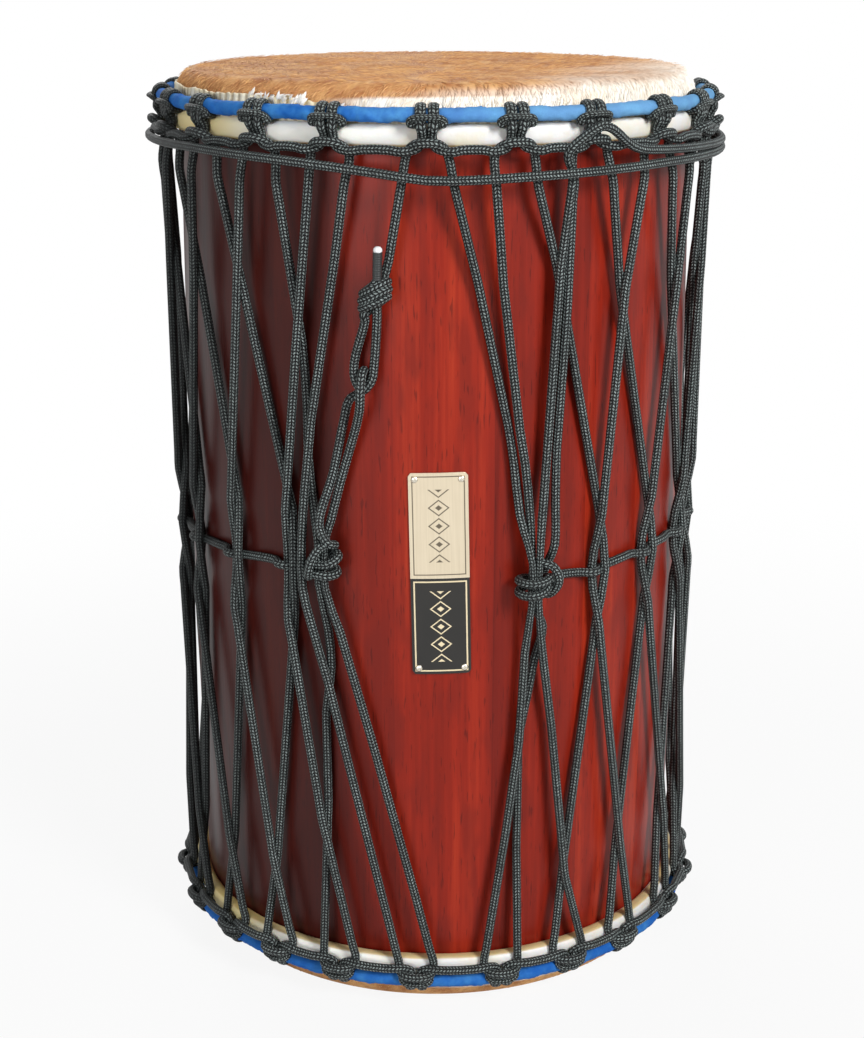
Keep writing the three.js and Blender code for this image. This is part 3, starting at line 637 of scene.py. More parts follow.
def coat_on_skin(end):
    up = Vector((0, 0, end["side"]))

    def coat_and_lay(vertex):
        spot = vertex.co
        outwards = away_from_axis(spot)
        over_edge = limited((math.hypot(spot.x, spot.y) - EDGE_BEGINS) / 0.011)
        swirl = noise.noise(spot * 14) * 2.6 + 0.5
        flow = Vector((math.cos(swirl), math.sin(swirl) - 0.5, 0)) + outwards * 0.4
        side = outwards.cross(up) * (0.6 * noise.noise(spot * 30 + up) + 0.25)
        lay = flow.lerp(side - up + outwards * (1 - over_edge), over_edge)
        face_share = FACE_SHARE if end["side"] > 0 else 0.0
        coat = face_share + (1 - face_share) * over_edge
        hair_side = vertex.normal.dot(outwards * 0.6 + up) > 0.2
        clear = -0.002 < past_ring(end, spot.z) < end["hair_reach"]
        return (coat if hair_side and clear else 0.0), lay
    hair_grown_on(end["name"] + "_coat", heads[end["name"]], coat_and_lay,
                  fine_lock, LOCKS_PER_SQUARE_METRE, end["hair_length"], hair_finish)


def kept_value(finish, name, output="Fac"):
    """A value that the piece's mesh keeps under a name."""
    return Wire(node(finish.tree, "ShaderNodeAttribute", attribute_name=name), output)


def cow_hair():
    finish = Finish("cow_hair")
    mottle = speckle(finish.place, 30, 3, 0.6).eased(0.3, 0.7)
    tone = mottle * 0.45 + kept_value(finish, "tone") * 0.7
    return finish.made({"Base Color": coat_colour(finish.place, tone), "Roughness": 0.6,
                        "Specular IOR Level": 0.35})


fine_lock = hair_lock("fine_lock", 0.085)
scatter = hair_scatter()
hair_finish = cow_hair()
for end in (TOP, BOTTOM):
    coat_on_skin(end)

# Trimmed edge of each hide: past the hoop it stands up between the drum's side and the pull
# ring, drawn into small pleats by the pull of the rope, and cut off ragged above the ring.
# White tufts of hair stick up between the pleats in a few places.
PLEATS = 168
EDGE_SAMPLES = PLEATS * 6
FRINGE_HEIGHT = 0.0078
FOOT_PAST_HOOP = 0.0022
EDGE_BULGE = 0.0024
PLEAT_DEPTH = 0.00042
RAGGED_CUT = 0.0009
EDGE_WANDER = 0.0006
DROP_UNDER_HAIR = 0.0054
TUFTS_PER_SQUARE_METRE = 150000
TUFT_LENGTH = 0.0052


def hair_over_edge(angle):
    """One where hair hangs over the trimmed edge, nought where the pleats are seen."""
    degrees = (math.degrees(angle) + 180) % 360 - 180
    if -100 < degrees < 100:
        return limited((degrees + 30) / 12)
    return limited(0.5 + 3 * lumps(angle, 3, 5.0))


def trimmed_edge(end):
    """The pleated band: out past the hitches' strands in between, pressed in behind them."""
    foot = -end["ring_to_hoop"] + FOOT_PAST_HOOP
    rise = [0, 0.18, 0.4, 0.6, 0.78, 0.92, 1.0]
    outer = [(HIDE_SIDE_RADIUS + SEAT + HIDE_THICKNESS, foot + (FRINGE_HEIGHT - foot) * share)
             for share in rise]
    inner = [(HIDE_SIDE_RADIUS + SEAT, height) for _, height in reversed(outer)]
    shares = rise + rise[::-1]

    def pleated(angle, row, radius, height):
        share = shares[row]
        pressed = hitch_nearness(end, angle)
        wander = lumps(angle, 9, 1.7 * end["side"])
        pleat = math.sin(PLEATS * angle + 2.2 * wander)
        bulge = EDGE_BULGE * (1 - pressed) * math.sin(math.pi * min(1, 0.15 + share))
        radius += bulge + PLEAT_DEPTH * pleat * share * (1 - 0.5 * pressed)
        ragged = lumps(angle, 46, end["side"])
        hidden = hair_over_edge(angle)
        height += share * (RAGGED_CUT * ragged + EDGE_WANDER * (wander - pressed)
                           - DROP_UNDER_HAIR * hidden)
        return radius - 0.8 * bulge * hidden, height_at(end, -height)
    band = turned(end["name"] + "_trimmed_edge", outer + inner, closed=True,
                  sides=EDGE_SAMPLES, wobble=pleated)
    return placed(band, edge_finish, "hide")


def tufts_on_edge(end, band):
    up = Vector((0, 0, end["side"]))

    def coat_and_lay(vertex):
        angle = math.atan2(vertex.co.x, -vertex.co.y)
        degrees = math.degrees(angle)
        outwards = away_from_axis(vertex.co)
        clump = degrees > -24 and lumps(angle, 26, 2.0) > 0.12
        wanted = -42 < degrees < -27 or clump or degrees < -110
        outer = past_ring(end, vertex.co.z) > 0.001 and vertex.normal.dot(outwards) > 0
        lay = up - outwards.cross(up) * 0.8 + outwards * 0.5
        return (1.0 if wanted and outer else 0.0), lay
    hair_grown_on(end["name"] + "_tufts", band, coat_and_lay, coarse_lock,
                  TUFTS_PER_SQUARE_METRE, TUFT_LENGTH, tuft_finish)


def white_hair():
    finish = Finish("white_hair")
    colour = kept_value(finish, "tone").mix(ink(248, 240, 226), ink(255, 255, 255))
    return finish.made({"Base Color": colour, "Roughness": 0.6})


def pleated_hide():
    finish = Finish("pleated_hide")
    stain = speckle(finish.place, 70, 3, 0.6).eased(0.4, 0.7)
    # Painted shade: the grooves between the pleats are darkened.
    painted_groove_shade = (angle_round_drum(finish.place) * PLEATS).math("SINE").eased(0.1, -0.9)
    colour = stain.mix(ink(246, 238, 212), ink(226, 208, 164))
    colour = (painted_groove_shade * 0.55).mix(colour, ink(150, 118, 66))
    return finish.made({"Base Color": colour, "Roughness": 0.6,
                        "Normal": relief(speckle(finish.place, 500, 2), 0.0003)})


coarse_lock = hair_lock("coarse_lock", 0.36)
edge_finish = pleated_hide()
tuft_finish = white_hair()
for end in (TOP, BOTTOM):
    tufts_on_edge(end, trimmed_edge(end))

# Hoops and pull rings: plain steel rod, bent round and welded. The flesh hoop lies inside the
# hide's fold, the pull ring inside its cloth.
RING_ROD_RADIUS = 0.0029


def plain_rod():
    finish = Finish("plain_rod")
    wear_and_highlight_patches = speckle(finish.place, 300, 3, 0.6)
    return finish.made({"Base Color": wear_and_highlight_patches.mix(ink(150, 150, 146), ink(186, 184, 178)),
                        "Roughness": 0.42, "Metallic": 1.0, "Normal": relief(wear_and_highlight_patches, 0.00005)})


rod_finish = plain_rod()
for end in (TOP, BOTTOM):
    for piece_name, node_name, centre, rod_radius in (
            ("_flesh_rod", "_flesh_hoop", (HOOP_RADIUS, height_at(end, end["ring_to_hoop"])),
             HOOP_ROD_RADIUS),
            ("_ring_rod", "_pull_ring", (PULL_RING_RADIUS, height_at(end, 0)), RING_ROD_RADIUS)):
        section = arc(centre, (rod_radius, rod_radius), 0, 330, 11)
        rod = turned(end["name"] + piece_name, section, closed=True)
        placed(rod, rod_finish, "hoop_steel", end["name"] + node_name)

# Ring cloth: a strip of blue cotton wound round each pull ring, each turn lapping the last by
# a few millimetres, so the edges show as slanting steps. Its colour is painted lighter at the
# upper end's right as painted light, and darker on the left and round the lower ring as
# painted shade.
CLOTH_RADIUS = 0.004
CLOTH_TURNS = 31
CLOTH_LAP = 0.0008
CLOTH_SIDES = 20
CLOTH_STEPS = CLOTH_TURNS * 36
CLOTH_CREASE = 0.00042


def wound_cloth(end):
    section = arc((PULL_RING_RADIUS, 0), (CLOTH_RADIUS,) * 2, 0, 360 - 360 / CLOTH_SIDES,
                  CLOTH_SIDES - 1)

    def wound(angle, row, radius, height):
        round_angle = 2 * math.pi * row / CLOTH_SIDES
        turn = CLOTH_TURNS * angle / (2 * math.pi) + end["side"] * row / CLOTH_SIDES
        swell = (turn % 1.0) ** 3 * CLOTH_LAP + CLOTH_CREASE * lumps(angle, 60, row * 0.35)
        return (radius + swell * math.cos(round_angle),
                height_at(end, 0) + height + swell * math.sin(round_angle))
    strip = turned(end["name"] + "_wound_cloth", section, closed=True,
                   sides=CLOTH_STEPS, wobble=wound)
    return placed(strip, cloth_finish, "ring_cloth", end["name"] + "_ring_cloth")


def blue_cotton():
    finish = Finish("blue_cotton")
    x, _, height = axes(finish.place)
    upper_end = height.math("GREATER_THAN", DRUM_HEIGHT / 2)
    weave = speckle(finish.place, 1400, 2, 0.5)
    wear_and_highlight_patches = speckle(finish.place, 55, 4, 0.6).eased(0.35, 0.72)
    colour = wear_and_highlight_patches.mix(ink(20, 98, 182), ink(78, 156, 216))
    # Painted shade: the lower ring's cloth is darkened.
    colour = ((1 - upper_end) * 0.45).mix(colour, ink(14, 74, 156))
    # Painted shade: the cloth darkens towards the drum's left.
    colour = (x.eased(-0.03, -0.13) * 0.5).mix(colour, ink(14, 84, 170))
    # Painted light: the upper ring's cloth is lightened towards the drum's right.
    colour = (x.eased(-0.08, 0.1) * 0.6 * upper_end).mix(colour, ink(128, 178, 208))
    colour = (weave * 0.25).mix(colour, ink(26, 76, 140))
    return finish.made({"Base Color": colour, "Roughness": 0.85,
                        "Normal": relief(weave, 0.00018), "Specular IOR Level": 0.25})


cloth_finish = blue_cotton()
for end in (TOP, BOTTOM):
    wound_cloth(end)

# Rope: one black polyester braid for the whole drum, 5.5 mm thick, with a painted grey
# highlight on every stitch. A sweep of a round section follows each rope's route; the route's
# points are smoothed first, and swell says how much of the section is left where a strand is
# squeezed.
ROPE_RADIUS = 0.00275
ROPE_SIDES = 14
BRAID_COLUMNS = 8
BRAID_PITCH = 0.0021
LONG_RUN = 0.04
STRAIGHT_FROM = 0.012
MOST_PIECES = 9
DEGREES_A_PIECE = 11


def rope_sweep():
    """Geometry Nodes tree: a line of points becomes a rope with its braid's own coordinates."""
    tree, given = geometry_tree("rope_sweep", {"Rope Radius": "Float", "Sides": "Int",
                                               "Braid": "Material"})

    def stored(geometry, name, value, kind):
        inputs = {"Geometry": geometry, "Name": name, "Value": value}
        return Wire(node(tree, "GeometryNodeStoreNamedAttribute", inputs,
                         data_type=kind, domain="POINT"))
    line = Wire(node(tree, "GeometryNodeMeshToCurve", {"Mesh": given["Geometry"]}))
    run = Wire(node(tree, "GeometryNodeSplineParameter"), "Length")
    ring = node(tree, "GeometryNodeCurvePrimitiveCircle",
                {"Resolution": given["Sides"], "Radius": given["Rope Radius"]})
    spot = Wire(node(tree, "GeometryNodeInputPosition"))
    swell = node(tree, "GeometryNodeInputNamedAttribute", {"Name": "swell"}, data_type="FLOAT")
    swept = node(tree, "GeometryNodeCurveToMesh",
                 {"Curve": stored(line, "rope_run", run, "FLOAT"),
                  "Profile Curve": stored(Wire(ring, "Curve"), "rope_round", spot, "FLOAT_VECTOR"),
                  "Scale": Wire(swell, "Attribute"), "Fill Caps": True})
    smooth = node(tree, "GeometryNodeSetShadeSmooth", {"Geometry": Wire(swept)})
    return finished_tree(tree, Wire(smooth), given["Braid"])


def straight_on_long_runs(stations):
    """A long run gets two more stations near its ends, so it stays straight between them."""
    held = [stations[0]]
    for (start, first), (end, last) in zip(stations, stations[1:]):
        run = (end - start).length
        if run > LONG_RUN:
            for share in (STRAIGHT_FROM / run, 1 - STRAIGHT_FROM / run):
                held.append((start.lerp(end, share), first * (1 - share) + last * share))
        held.append((end, last))
    return held


def between(a, b, ta, tb, t):
    return a * ((tb - t) / (tb - ta)) + b * ((t - ta) / (tb - ta))


def smoothed(stations):
    """Centripetal curve through a rope's stations, with more points where it bends more."""
    stations = straight_on_long_runs(stations)
    spots = [spot for spot, _ in stations]
    spots = [2 * spots[0] - spots[1], *spots, 2 * spots[-1] - spots[-2]]
    points = []
    for i, ((_, first), (_, last)) in enumerate(zip(stations, stations[1:])):
        before, start, end, after = spots[i:i + 4]
        gaps = [max(1e-5, (b - a).length) ** 0.5
                for a, b in ((before, start), (start, end), (end, after))]
        t0, t1, t2, t3 = 0, gaps[0], gaps[0] + gaps[1], sum(gaps)
        bend = (start - before).angle(end - start) + (end - start).angle(after - end)
        pieces = max(2, min(MOST_PIECES, round(math.degrees(bend) / DEGREES_A_PIECE)))
        for share in (step / pieces for step in range(pieces)):
            t = t1 + gaps[1] * share
            a1 = between(before, start, t0, t1, t)
            a2 = between(start, end, t1, t2, t)
            a3 = between(end, after, t2, t3, t)
            b1 = between(a1, a2, t0, t2, t)
            b2 = between(a2, a3, t1, t3, t)
            points.append((between(b1, b2, t1, t2, t), first * (1 - share) + last * share))
    return [*points, stations[-1]]


def rope_along(name, stations, *nodes):
    """A rope through its stations, as one closed mesh that stands for CAD nodes."""
    points = smoothed(stations)
    mesh = bpy.data.meshes.new(name)
    mesh.from_pydata([spot for spot, _ in points], [(i, i + 1) for i in range(len(points) - 1)], [])
    with_attribute(mesh, "swell", "FLOAT", [swell for _, swell in points])
    rope = made_by(sweep, in_scene(name, mesh), rope_radius=ROPE_RADIUS, sides=ROPE_SIDES,
                   braid=braid_finish)
    return placed(rope, braid_finish, "rope", *nodes)


def black_braid():
    """Columns of stitches that lean to and fro, so two columns make a herringbone. The grey flecks
    are painted highlights on the stitch tops, uneven from place to place, and dimmed as painted
    shade at the drum's far left; the gaps between stitches are painted darker as painted shade."""
    finish = Finish("black_braid")
    x, y, _ = axes(kept_value(finish, "rope_round", "Vector"))
    columns = y.math("ARCTAN2", x) * (BRAID_COLUMNS / (2 * math.pi)) + BRAID_COLUMNS
    across = columns.math("FRACT") - 0.5
    way = columns.math("FLOOR").math("MODULO", 2.0) * 2.0 - 1.0
    along = kept_value(finish, "rope_run") * (1 / BRAID_PITCH) + across * way * 0.7
    along = along.math("FRACT") - 0.5
    from_middle = [abs(part * 2.0).math("POWER", 2.0) for part in (along, across)]
    stitch = (1 - from_middle[0].math("MAXIMUM", from_middle[1])).math("MAXIMUM", 0.0)
    yarn = speckle(finish.place, 1500, 2, 0.6).eased(0.3, 0.62)
    # Uneven strength of the painted highlights from place to place.
    wear_and_highlight_patches = speckle(finish.place, 24, 3, 0.6) * 0.8 + 0.35
    # Painted shade: the painted highlights fade towards the drum's far left.
    painted_left_dimming = axes(finish.place)[0].eased(-0.175, -0.1) * 0.75 + 0.25
    # Painted highlight: grey flecks on the stitch tops.
    painted_highlight = (stitch.eased(0.5, 0.92) * yarn * wear_and_highlight_patches).math("MINIMUM", 1.0) * painted_left_dimming
    # Painted shade: the gaps between stitches are darker than the stitch tops.
    colour = stitch.eased(0.0, 0.4).mix(ink(3, 4, 5), ink(17, 19, 20))
    return finish.made({"Base Color": painted_highlight.mix(colour, ink(158, 170, 168)), "Roughness": 0.55,
                        "Normal": relief(stitch.math("POWER", 0.5), 0.0004),
                        "Specular IOR Level": 0.22})


sweep = rope_sweep()
braid_finish = black_braid()

# Cradle ropes: one rope on each pull ring, tied to it with 22 cow hitches. A hitch comes up in
# front, goes over the ring and down behind it, comes out under the ring and crosses its own
# two strands as a bar. A span hangs from each hitch to the next.
HITCH_STRAND = 0.0036
HITCH_REACH = 0.0069
HITCH_STRAND_SPREAD = 0.0025
FLATTENED_ROPE = 0.0034
SQUEEZED = 0.62
WIDENED = 1.18
PRESS_BEGINS = 0.021
PRESS_FULL = 0.0135
SPAN_SHARES = (0.38, 0.62)

# Where a hitch's strands pass, from the span below to the bar in front: aside of its middle,
# out from the pull ring's radius and inwards from its height; the span's middle lies half-way
# to the next hitch. Pull is the share that is left of their distance from the ring's cloth.
TOP["hitch"] = {
    "span": (0.0138, 0.006, 0.0198), "foot": (0.005, 0.003, 0.0176),
    "band": (0.00285, 0.0012, 0.0122), "exit": (0.009, 0.0044, 0.0042),
    "bar": (0.006, 0.0106, 0.0014), "middle": (0.006, 0.0188), "pull": 0.52,
}
BOTTOM["hitch"] = {
    "span": (0.0138, 0.0056, 0.0108), "foot": (0.006, 0.0034, 0.0098),
    "band": (0.003, 0.0024, 0.0074), "exit": (0.0086, 0.0044, 0.0036),
    "bar": (0.0056, 0.0104, 0.0006), "middle": (0.0052, 0.0102), "pull": 0.42,
}


def around_drum(degrees, radius, height):
    angle = math.radians(degrees)
    return Vector((radius * math.sin(angle), -radius * math.cos(angle), height))


def degrees_for(arc_length):
    return math.degrees(arc_length / PULL_RING_RADIUS)


def by_hitch(end, index, aside, out, inwards, swell=1.0):
    """A station by a hitch: aside along the ring, out from its radius, inwards from its height."""
    degrees = hitch_angle(end, index) + degrees_for(aside)
    return around_drum(degrees, PULL_RING_RADIUS + out, height_at(end, inwards)), swell


def hitch_stations(end, index):
    """In on the left, over the ring twice, and out on the right."""
    shape = end["hitch"]
    inset = HOOP_RADIUS - PULL_RING_RADIUS
    to_hoop = math.degrees(math.atan2(end["ring_to_hoop"], inset))
    channel = math.hypot(end["ring_to_hoop"], inset)
    channel_reach = CLOTH_RADIUS + (channel - FOLD_RADIUS - CLOTH_RADIUS) / 2
    behind = CLOTH_RADIUS + SEAT + FLATTENED_ROPE / 2

    def half(hand):
        def at(aside, out, inwards, swell=1.0):
            return by_hitch(end, index, hand * aside, out, inwards, swell)

        def around(degrees, reach, aside, swell):
            angle = math.radians(degrees)
            return at(aside, reach * math.cos(angle), reach * math.sin(angle), swell)
        over_ring = [around(degrees, HITCH_REACH, HITCH_STRAND, WIDENED)
                     for degrees in (28, -32, -92)]
        return [
            at(*shape["span"]), at(*shape["foot"]), at(*shape["band"]), *over_ring,
            at(HITCH_STRAND, -behind, -0.003, SQUEEZED),
            around(150, channel_reach, HITCH_STRAND + 0.3 * HITCH_STRAND_SPREAD, SQUEEZED),
            around(to_hoop, channel_reach, HITCH_STRAND + HITCH_STRAND_SPREAD, SQUEEZED),
            at(*shape["exit"]), at(*shape["bar"]),
        ]
    return half(-1) + half(1)[::-1]


def span_stations(end, index):
    """Two places on the nearly straight run from one hitch to the next."""
    out, inwards = end["hitch"]["middle"]
    places = []
    for share in SPAN_SHARES:
        degrees = hitch_angle(end, index) * (1 - share) + hitch_angle(end, index + 1) * share
        places.append((around_drum(degrees, PULL_RING_RADIUS + out, height_at(end, inwards)), 1.0))
    return places


def press_on_ring(rope, end):
    """The strands lie pulled flat on the ring: their distance from its cloth shrinks by the
    end's pull, and that fades out away from the ring."""
    pull = end["hitch"]["pull"]
    for vertex in rope.data.vertices:
        centre = away_from_axis(vertex.co) * PULL_RING_RADIUS
        centre.z = height_at(end, 0)
        reach = (vertex.co - centre).length
        if CLOTH_RADIUS < reach < PRESS_BEGINS:
            pressed = CLOTH_RADIUS + (min(reach, PRESS_FULL) - CLOTH_RADIUS) * pull
            fading = (PRESS_BEGINS - pressed) / (PRESS_BEGINS - PRESS_FULL)
            pressed += max(0, reach - PRESS_FULL) * fading
            inwards = end["side"] * (centre.z - vertex.co.z)
            share = limited((0.85 - inwards / reach) / 0.35)
            share = share * share * (3 - 2 * share)
            vertex.co = centre + (vertex.co - centre) * (1 + share * (pressed / reach - 1))


def cradle_rope(end):
    """Starts and ends at the back of the drum, where its two ends are fused together."""
    first = HITCHES // 2
    stations = []
    for index in range(first, first + HITCHES):
        stations += hitch_stations(end, index)
        if index + 1 < first + HITCHES:
            stations += span_stations(end, index)
    middle = (stations[0][0] + stations[-1][0]) / 2
    rope = rope_along(end["name"] + "_braided_cradle", [(middle, 1.0), *stations, (middle, 1.0)],
                      end["name"] + "_cradle_rope")
    press_on_ring(rope, end)


for end in (TOP, BOTTOM):
    cradle_rope(end)

# Lacing: one long rope through all the hitches, from end to end of the drum. It starts in a
# loop knot at the front left, makes 44 legs, and its tail comes back up through the loop. The
# last run is the waist turn, which weaves round the drum and ends in a coil over three legs.
ROPE_ON_SHELL = SHELL_END_RADIUS + SHELL_BELLY + SEAT + ROPE_RADIUS
ROPE_STEP = 2 * ROPE_RADIUS + 0.0004
CROSSING_LIFT = 0.0022
TWIST_LIFT = 0.0007
NEAR = 0.0
FAR = ROPE_STEP - 0.0012
BEHIND_LEG = NEAR + CROSSING_LIFT
IN_FRONT_LEG = FAR + CROSSING_LIFT
UNDER_COLLAR = PULL_RING_RADIUS + 0.0022 - ROPE_ON_SHELL
OVER_COLLAR = UNDER_COLLAR + ROPE_STEP + 0.0014
COLLAR_DEPTH = 0.04
FIRST_CROSSING_DEPTH = 0.105
FIRST_CROSSING_ASIDE = 9.4
WAIST_DEPTH = 0.282

# At single crossings the waist turn climbs a little, and the pair of legs is nudged aside
WAIST_CLIMBS = {2: 0.0015, 3: 0.004, 4: 0.0045, 5: 0.004, 6: 0.002, 18: 0.002, 19: 0.0045,
                20: 0.007}
WAIST_NUDGES = {2: 0.9, 20: -0.9}
WAIST_LEAD = 4
TWIST_ABOVE = 0.036
TWIST_BELOW = 0.034
TWIST_SIDE = degrees_for(0.0037)
CROSS_SIDE = degrees_for(0.001)
LAST_CROSSING_DEPTH = 0.478
LAST_CROSSING_ASIDE = 0.9
WEAVE = degrees_for(0.0032)
LEG_SIDE = degrees_for(0.012)
PRESSED = 0.8
COIL_STEPS = 12

# Where the lacing's bights turn round the hitches: aside, out and inwards, as for the hitches
TOP["bight"] = [(0.0118, 0.0002, 0.0225), (0.0092, 0.0032, 0.0178), (0.0048, 0.0072, 0.0152)]
BOTTOM["bight"] = [(0.0112, 0.0004, 0.0118), (0.0098, 0.0036, 0.0072), (0.0048, 0.009, 0.0072)]


def route(places):
    """Stations on the drum's side: degrees from the front, lift over a rope that lies on the
    shell, depth below the top pull ring, and how much a strand is squeezed, where it is."""
    return [(around_drum(degrees, ROPE_ON_SHELL + lift, height_at(TOP, depth)), *(swell or [1.0]))
            for degrees, lift, depth, *swell in places]


def bight_stations(end, index):
    """Behind the span, up beside the hitch, and across in front of its two strands."""
    left, right = ([by_hitch(end, index, hand * aside, out, inwards)
                    for aside, out, inwards in end["bight"]] for hand in (-1, 1))
    return left + right[::-1]


def coil(centre, reach, depth, climb, start, sweep, tilt):
    """Turns round upright strands, lower on the left by the tilt; angles run from the right
    side over the front."""
    steps = round(abs(sweep) * COIL_STEPS / 360)
    places = []
    for i in range(steps + 1):
        angle = math.radians(start + sweep * i / steps)
        bulge = reach * (0.94 + 0.12 * math.sin(math.pi * i / steps))
        places.append((centre + degrees_for(bulge * math.cos(angle)),
                       reach + bulge * math.sin(angle),
                       depth + climb * i / steps - tilt * math.cos(angle)))
    return places


def tied(centre, depth, places):
    """A knot's stations, each so far aside of its centre, out over the shell, and below its
    middle."""
    return [(centre + degrees_for(aside), out, depth + down) for aside, out, down in places]


def twist_at(index):
    return TOP["phase"] + HITCH_PITCH * index + WAIST_LEAD + WAIST_NUDGES.get(index % HITCHES, 0)


def waist_at(index):
    return WAIST_DEPTH - WAIST_CLIMBS.get(index % HITCHES, 0)


def waist_twist(index, hand):
    """Where a leg passes the waist turn. The hand is 1 for legs that lean to the right."""
    beyond, level = (NEAR, FAR) if hand > 0 else (FAR, NEAR)
    side, depth = twist_at(index), waist_at(index)
    return [(side + hand * CROSS_SIDE, beyond + TWIST_LIFT, depth - TWIST_ABOVE),
            (side + hand * TWIST_SIDE, level, depth),
            (side + hand * CROSS_SIDE, beyond + TWIST_LIFT, depth + TWIST_BELOW)]


def under_collar(index, hand, nudge):
    return hitch_angle(TOP, index) + hand * LEG_SIDE + nudge, UNDER_COLLAR, COLLAR_DEPTH


def last_crossing(index, lift):
    return hitch_angle(BOTTOM, index) - LAST_CROSSING_ASIDE, lift, LAST_CROSSING_DEPTH


def leg(index, hand):
    """From the collar down to the last crossing, behind its neighbours or in front of them."""
    lift = BEHIND_LEG if hand > 0 else IN_FRONT_LEG
    crossing = hitch_angle(TOP, index - (hand < 0)) + FIRST_CROSSING_ASIDE
    return [under_collar(index, hand, 1.1 if hand > 0 else -0.6),
            (crossing, lift, FIRST_CROSSING_DEPTH),
            *waist_twist(index + hand, hand),
            last_crossing(index + (hand > 0), lift)]


# The knots at the front: degrees round the drum, how far out their strands lie, and depth. The
# lacing's first end stands at the tip's place, which is given in the same order.
LOOP_KNOT, LOOP_REACH = -11.4, 0.0072
TAIL_KNOT, TAIL_REACH, TAIL_KNOT_DEPTH = -22.9, 0.0084, 0.267
BELT_KNOT, BELT_REACH, BELT_KNOT_DEPTH = 19.5, 0.0094, 0.277
PAIR_SIDE = degrees_for(0.0023)
TIP_PLACE = (-10.6, 0.0128, 0.0925)

START_OF_LACING = [
    TIP_PLACE, (-11.1, 0.0126, 0.0948),
    *coil(LOOP_KNOT, LOOP_REACH, depth=0.0965, climb=0.0125, start=165, sweep=-1065, tilt=0.0046),
    (-13.6, 0.005, 0.1175), (-16, 0.003, 0.1426), (-15.6, 0.0056, 0.153), (-14, 0.0068, 0.1585),
    (-12.4, 0.0056, 0.153), (-12, 0.003, 0.143), (-11.2, 0.005, 0.114), (-11, LOOP_REACH, 0.107),
    (-9.9, LOOP_REACH - 0.0008, 0.094), (-8.9, 0.005, 0.082), (-6.4, UNDER_COLLAR, COLLAR_DEPTH),
]

# Legs beside the plate are pulled aside, which leaves it in view
RIGHT_LEANING = {
    0: [
        (3.4, UNDER_COLLAR, COLLAR_DEPTH), (8.3, 0.001, 0.097), (14.8, NEAR, 0.184),
        (15.9, 0.0006, 0.205), (17, 0.0034, 0.237),
        (BELT_KNOT - PAIR_SIDE, BELT_REACH + 0.0023, 0.266, PRESSED),
        (BELT_KNOT - PAIR_SIDE, BELT_REACH + 0.0023, 0.293, PRESSED), (18.4, FAR, 0.325),
        (17.4, FAR, 0.385), (14.6, 0.005, 0.45),
    ],
    1: [
        under_collar(1, 1, 0.5), (24.1, BEHIND_LEG, 0.087), (26, BEHIND_LEG, 0.112),
        *waist_twist(2, 1), last_crossing(2, BEHIND_LEG),
    ],
    20: [
        under_collar(-2, 1, 0.5), (-27.8, NEAR, 0.135), (-26.9, NEAR, 0.172), (-26.9, NEAR, 0.205),
        (-25.6, 0.0014, 0.236), (TAIL_KNOT - PAIR_SIDE, TAIL_REACH, 0.256, PRESSED),
        (TAIL_KNOT - PAIR_SIDE, TAIL_REACH, 0.282, PRESSED), (-22.6, 0.0025, 0.312),
        (-22.4, NEAR, 0.338), (-23.8, NEAR, 0.37), (-23.7, NEAR, 0.43),
    ],
    21: [
        (-17.1, UNDER_COLLAR, COLLAR_DEPTH), (-19.4, 0.0045, 0.079), (-25.2, FAR, 0.18),
        (-26.6, 0.007, 0.225), (-27.3, 0.008, 0.258), (-27.3, 0.008, 0.286), (-25.8, 0.007, 0.308),
        (-22.6, FAR, 0.346), (-15.8, 0.004, 0.433),
    ],
}
LEFT_LEANING = {
    1: [
        under_collar(1, -1, 0.3), (13, 0.004, 0.097), (16.6, FAR, 0.184), (17.8, FAR, 0.205),
        (19.1, 0.0036, 0.237), (BELT_KNOT, BELT_REACH - 0.0031, 0.266, PRESSED),
        (BELT_KNOT, BELT_REACH - 0.0031, 0.292, PRESSED), (22.6, 0.002, 0.311), (21.2, NEAR, 0.332),
        (17.8, NEAR, 0.385), (17.6, 0.001, 0.46),
    ],
    2: [
        under_collar(2, -1, -0.3), (24.3, IN_FRONT_LEG, 0.087), (22.3, FAR, 0.207),
        (21.2, 0.0076, 0.24), (BELT_KNOT + PAIR_SIDE, BELT_REACH + 0.0023, 0.266, PRESSED),
        (BELT_KNOT + PAIR_SIDE, BELT_REACH + 0.0023, 0.293, PRESSED), (22, 0.0074, 0.33),
        (24.6, FAR, 0.378), (28.2, IN_FRONT_LEG + 0.0004, LAST_CROSSING_DEPTH + 0.006),
    ],
    21: [
        under_collar(-1, -1, -0.3), (-27.8, IN_FRONT_LEG, 0.135), *waist_twist(-2, -1),
        (-24.2, IN_FRONT_LEG, 0.44),
    ],
}

# The tail comes up from the last hitch, goes through the loop and down to its own knot
TAIL_UP = [
    (-4.6, 0.004, 0.485), (-12.6, 0.004, 0.39), (-19.6, 0.0055, 0.312),
    (TAIL_KNOT + PAIR_SIDE, TAIL_REACH, 0.284, PRESSED),
    (TAIL_KNOT + PAIR_SIDE, TAIL_REACH, 0.256, PRESSED), (-21, 0.006, 0.24), (-19.1, 0.004, 0.216),
    (-15.6, 0.006, 0.182), (-14.2, 0.0116, 0.168), (-13.9, 0.0134, 0.158), (-13.9, 0.01, 0.1495),
    (-14, 0.0036, 0.1475), (-14.2, 0.0004, 0.154), (-15.6, 0.0003, 0.162), (-17.2, 0.0026, 0.166),
    (-18.4, 0.0036, 0.18), (-20.4, 0.005, 0.21), (-22.6, 0.0124, 0.243),
]

